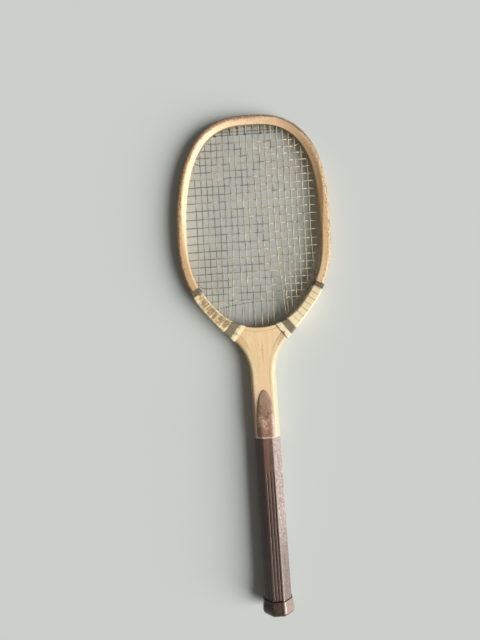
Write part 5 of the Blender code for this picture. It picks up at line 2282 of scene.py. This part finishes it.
@dataclass
class Studio:
    """The plain floor, the soft light and the camera above the racket."""

    floor_half: float = 2.5
    floor_colour: Colour = (0.640, 0.676, 0.668)
    contact_y: float = -0.336
    floor_slope: float = 0.0121
    floor_drop: float = 0.00012
    fill: float = 0.145
    fill_colour: Colour = (1.0, 0.945, 0.83)
    sun_energy: float = 4.55
    sun_colour: Colour = (1.0, 0.985, 0.96)
    sun_softness: float = math.radians(50)
    sun_height: float = math.radians(33)
    sun_turn: float = math.radians(-25)
    camera_foot: tuple[float, float] = (-0.0267, 0.0627)
    camera_rise: float = 0.714
    camera_turn: float = -0.0674
    camera_near: float = 0.01
    lens: float = 29.0
    film_side: float = 36.0

    def build_floor(self) -> Piece:
        """Makes the floor, which the butt cap and the tip of the head both rest on.

        Returns:
            The floor.
        """
        rise = math.tan(self.floor_slope)
        half = self.floor_half
        corners = ((-half, -half), (half, -half), (half, half), (-half, half))
        places = [(x, y, (y - self.contact_y) * rise - self.floor_drop) for x, y in corners]
        mesh = bpy.data.meshes.new("floor")
        mesh.from_pydata(places, [], [(0, 1, 2, 3)])
        floor = placed("floor", mesh)
        StudioFloor("pale_floor", "ash", colour=self.floor_colour).dress(floor)
        return floor

    def light(self) -> None:
        """Adds a wide soft lamp from the right and an even fill."""
        lamp = bpy.data.lights.new("window", "SUN")
        lamp.energy = self.sun_energy
        lamp.angle = self.sun_softness
        lamp.color = self.sun_colour
        rise, turn = self.sun_height, self.sun_turn
        towards = Vector((math.cos(rise) * math.cos(turn), math.cos(rise) * math.sin(turn), math.sin(rise)))
        placed("window", lamp).rotation_euler = towards.to_track_quat("Z", "Y").to_euler()
        world = bpy.data.worlds.new("studio")
        world.use_nodes = True
        backdrop = world.node_tree.nodes["Background"]
        backdrop.inputs["Color"].default_value = (*self.fill_colour, 1.0)
        backdrop.inputs["Strength"].default_value = self.fill
        bpy.context.scene.world = world

    def aim(self) -> None:
        """Sets the camera straight above the racket, turned a little."""
        data = bpy.data.cameras.new("camera")
        data.lens = self.lens
        data.sensor_fit = "VERTICAL"
        data.sensor_height = self.film_side
        data.clip_start = self.camera_near
        camera = placed("camera", data)
        camera.location = (*self.camera_foot, MID + self.camera_rise)
        camera.rotation_euler = (0.0, 0.0, self.camera_turn)
        bpy.context.scene.camera = camera
        bpy.context.scene.view_settings.view_transform = "Standard"


def build_racket() -> None:
    """Builds and dresses every piece of the racket, in the order that a maker would."""
    low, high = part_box("bow")
    outline = Outline(-2 * low.x)
    bow = Bow(outline, high.z - low.z)
    throat = Throat(bow)
    bindings = Bindings(throat)
    bed = StringBed(throat, bindings)
    drills = bed.drills()
    groove = tuple((sum(bindings.stretches(side)["short"]) / 2 for side in Side))
    finish_piece(bow.build(drills, groove), ASH, "bow")
    finish_piece(throat.build_yoke(drills), THROAT, "throat_yoke")
    finish_piece(throat.build_wedge(bed.pockets()), THROAT, "throat_wedge")
    _, front_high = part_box("handle_front")
    handle = Handle(outline, bow.depth, 2 * (front_high.z - MID))
    for face in Face:
        finish_piece(handle.build_scale(face), STAINED, f"handle_{face.word}")
    for side in Side:
        finish_piece(handle.build_side(side), STAINED, f"handle_{side.word}")
    finish_piece(handle.build_cap(), CAP_LEATHER, "butt_cap")
    for side in Side:
        stretches = bindings.stretches(side)
        for name in ("upper", "lower"):
            piece = bindings.build_threads(side, name, stretches[name])
            finish_piece(piece, WHIPPING, f"{name}_thread_{side.word}")
        for name, tapes in (("long", LONG_TAPE), ("short", SHORT_TAPE)):
            piece = bindings.build_tape(side, name, stretches[name])
            finish_piece(piece, tapes[side], f"{name}_wrap_{side.word}")
    finish_piece(bed.build_mains(), DULL_GUT, "main_string")
    finish_piece(bed.build_crosses(), GUT, "cross_string")
    top = Trebling(bed, "crown_trebling", (lambda x: 0.6620, lambda x: 0.6662),
                   [-0.045 + 0.0106 * k for k in range(11)], doubled=True, at_crown=True,
                   reach=(-0.058, 0.068), diameter=0.0009)
    finish_piece(top.build(), DARK_GUT, "treble_top")
    bottom = Trebling(bed, "throat_trebling", (lambda x: 0.430 - 1.51 * (x - 0.015) ** 2,),
                      [-0.044 + 0.0122 * k for k in range(9)], doubled=False, at_crown=False,
                      reach=(-0.058, 0.066))
    finish_piece(bottom.build(), PALE_GUT, "treble_bottom")


def main() -> None:
    """Builds the racket and its studio."""
    logging.basicConfig(level=logging.INFO, format="%(name)s %(message)s")
    build_racket()
    studio = Studio()
    studio.build_floor()
    studio.light()
    studio.aim()


if __name__ == "__main__":
    main()
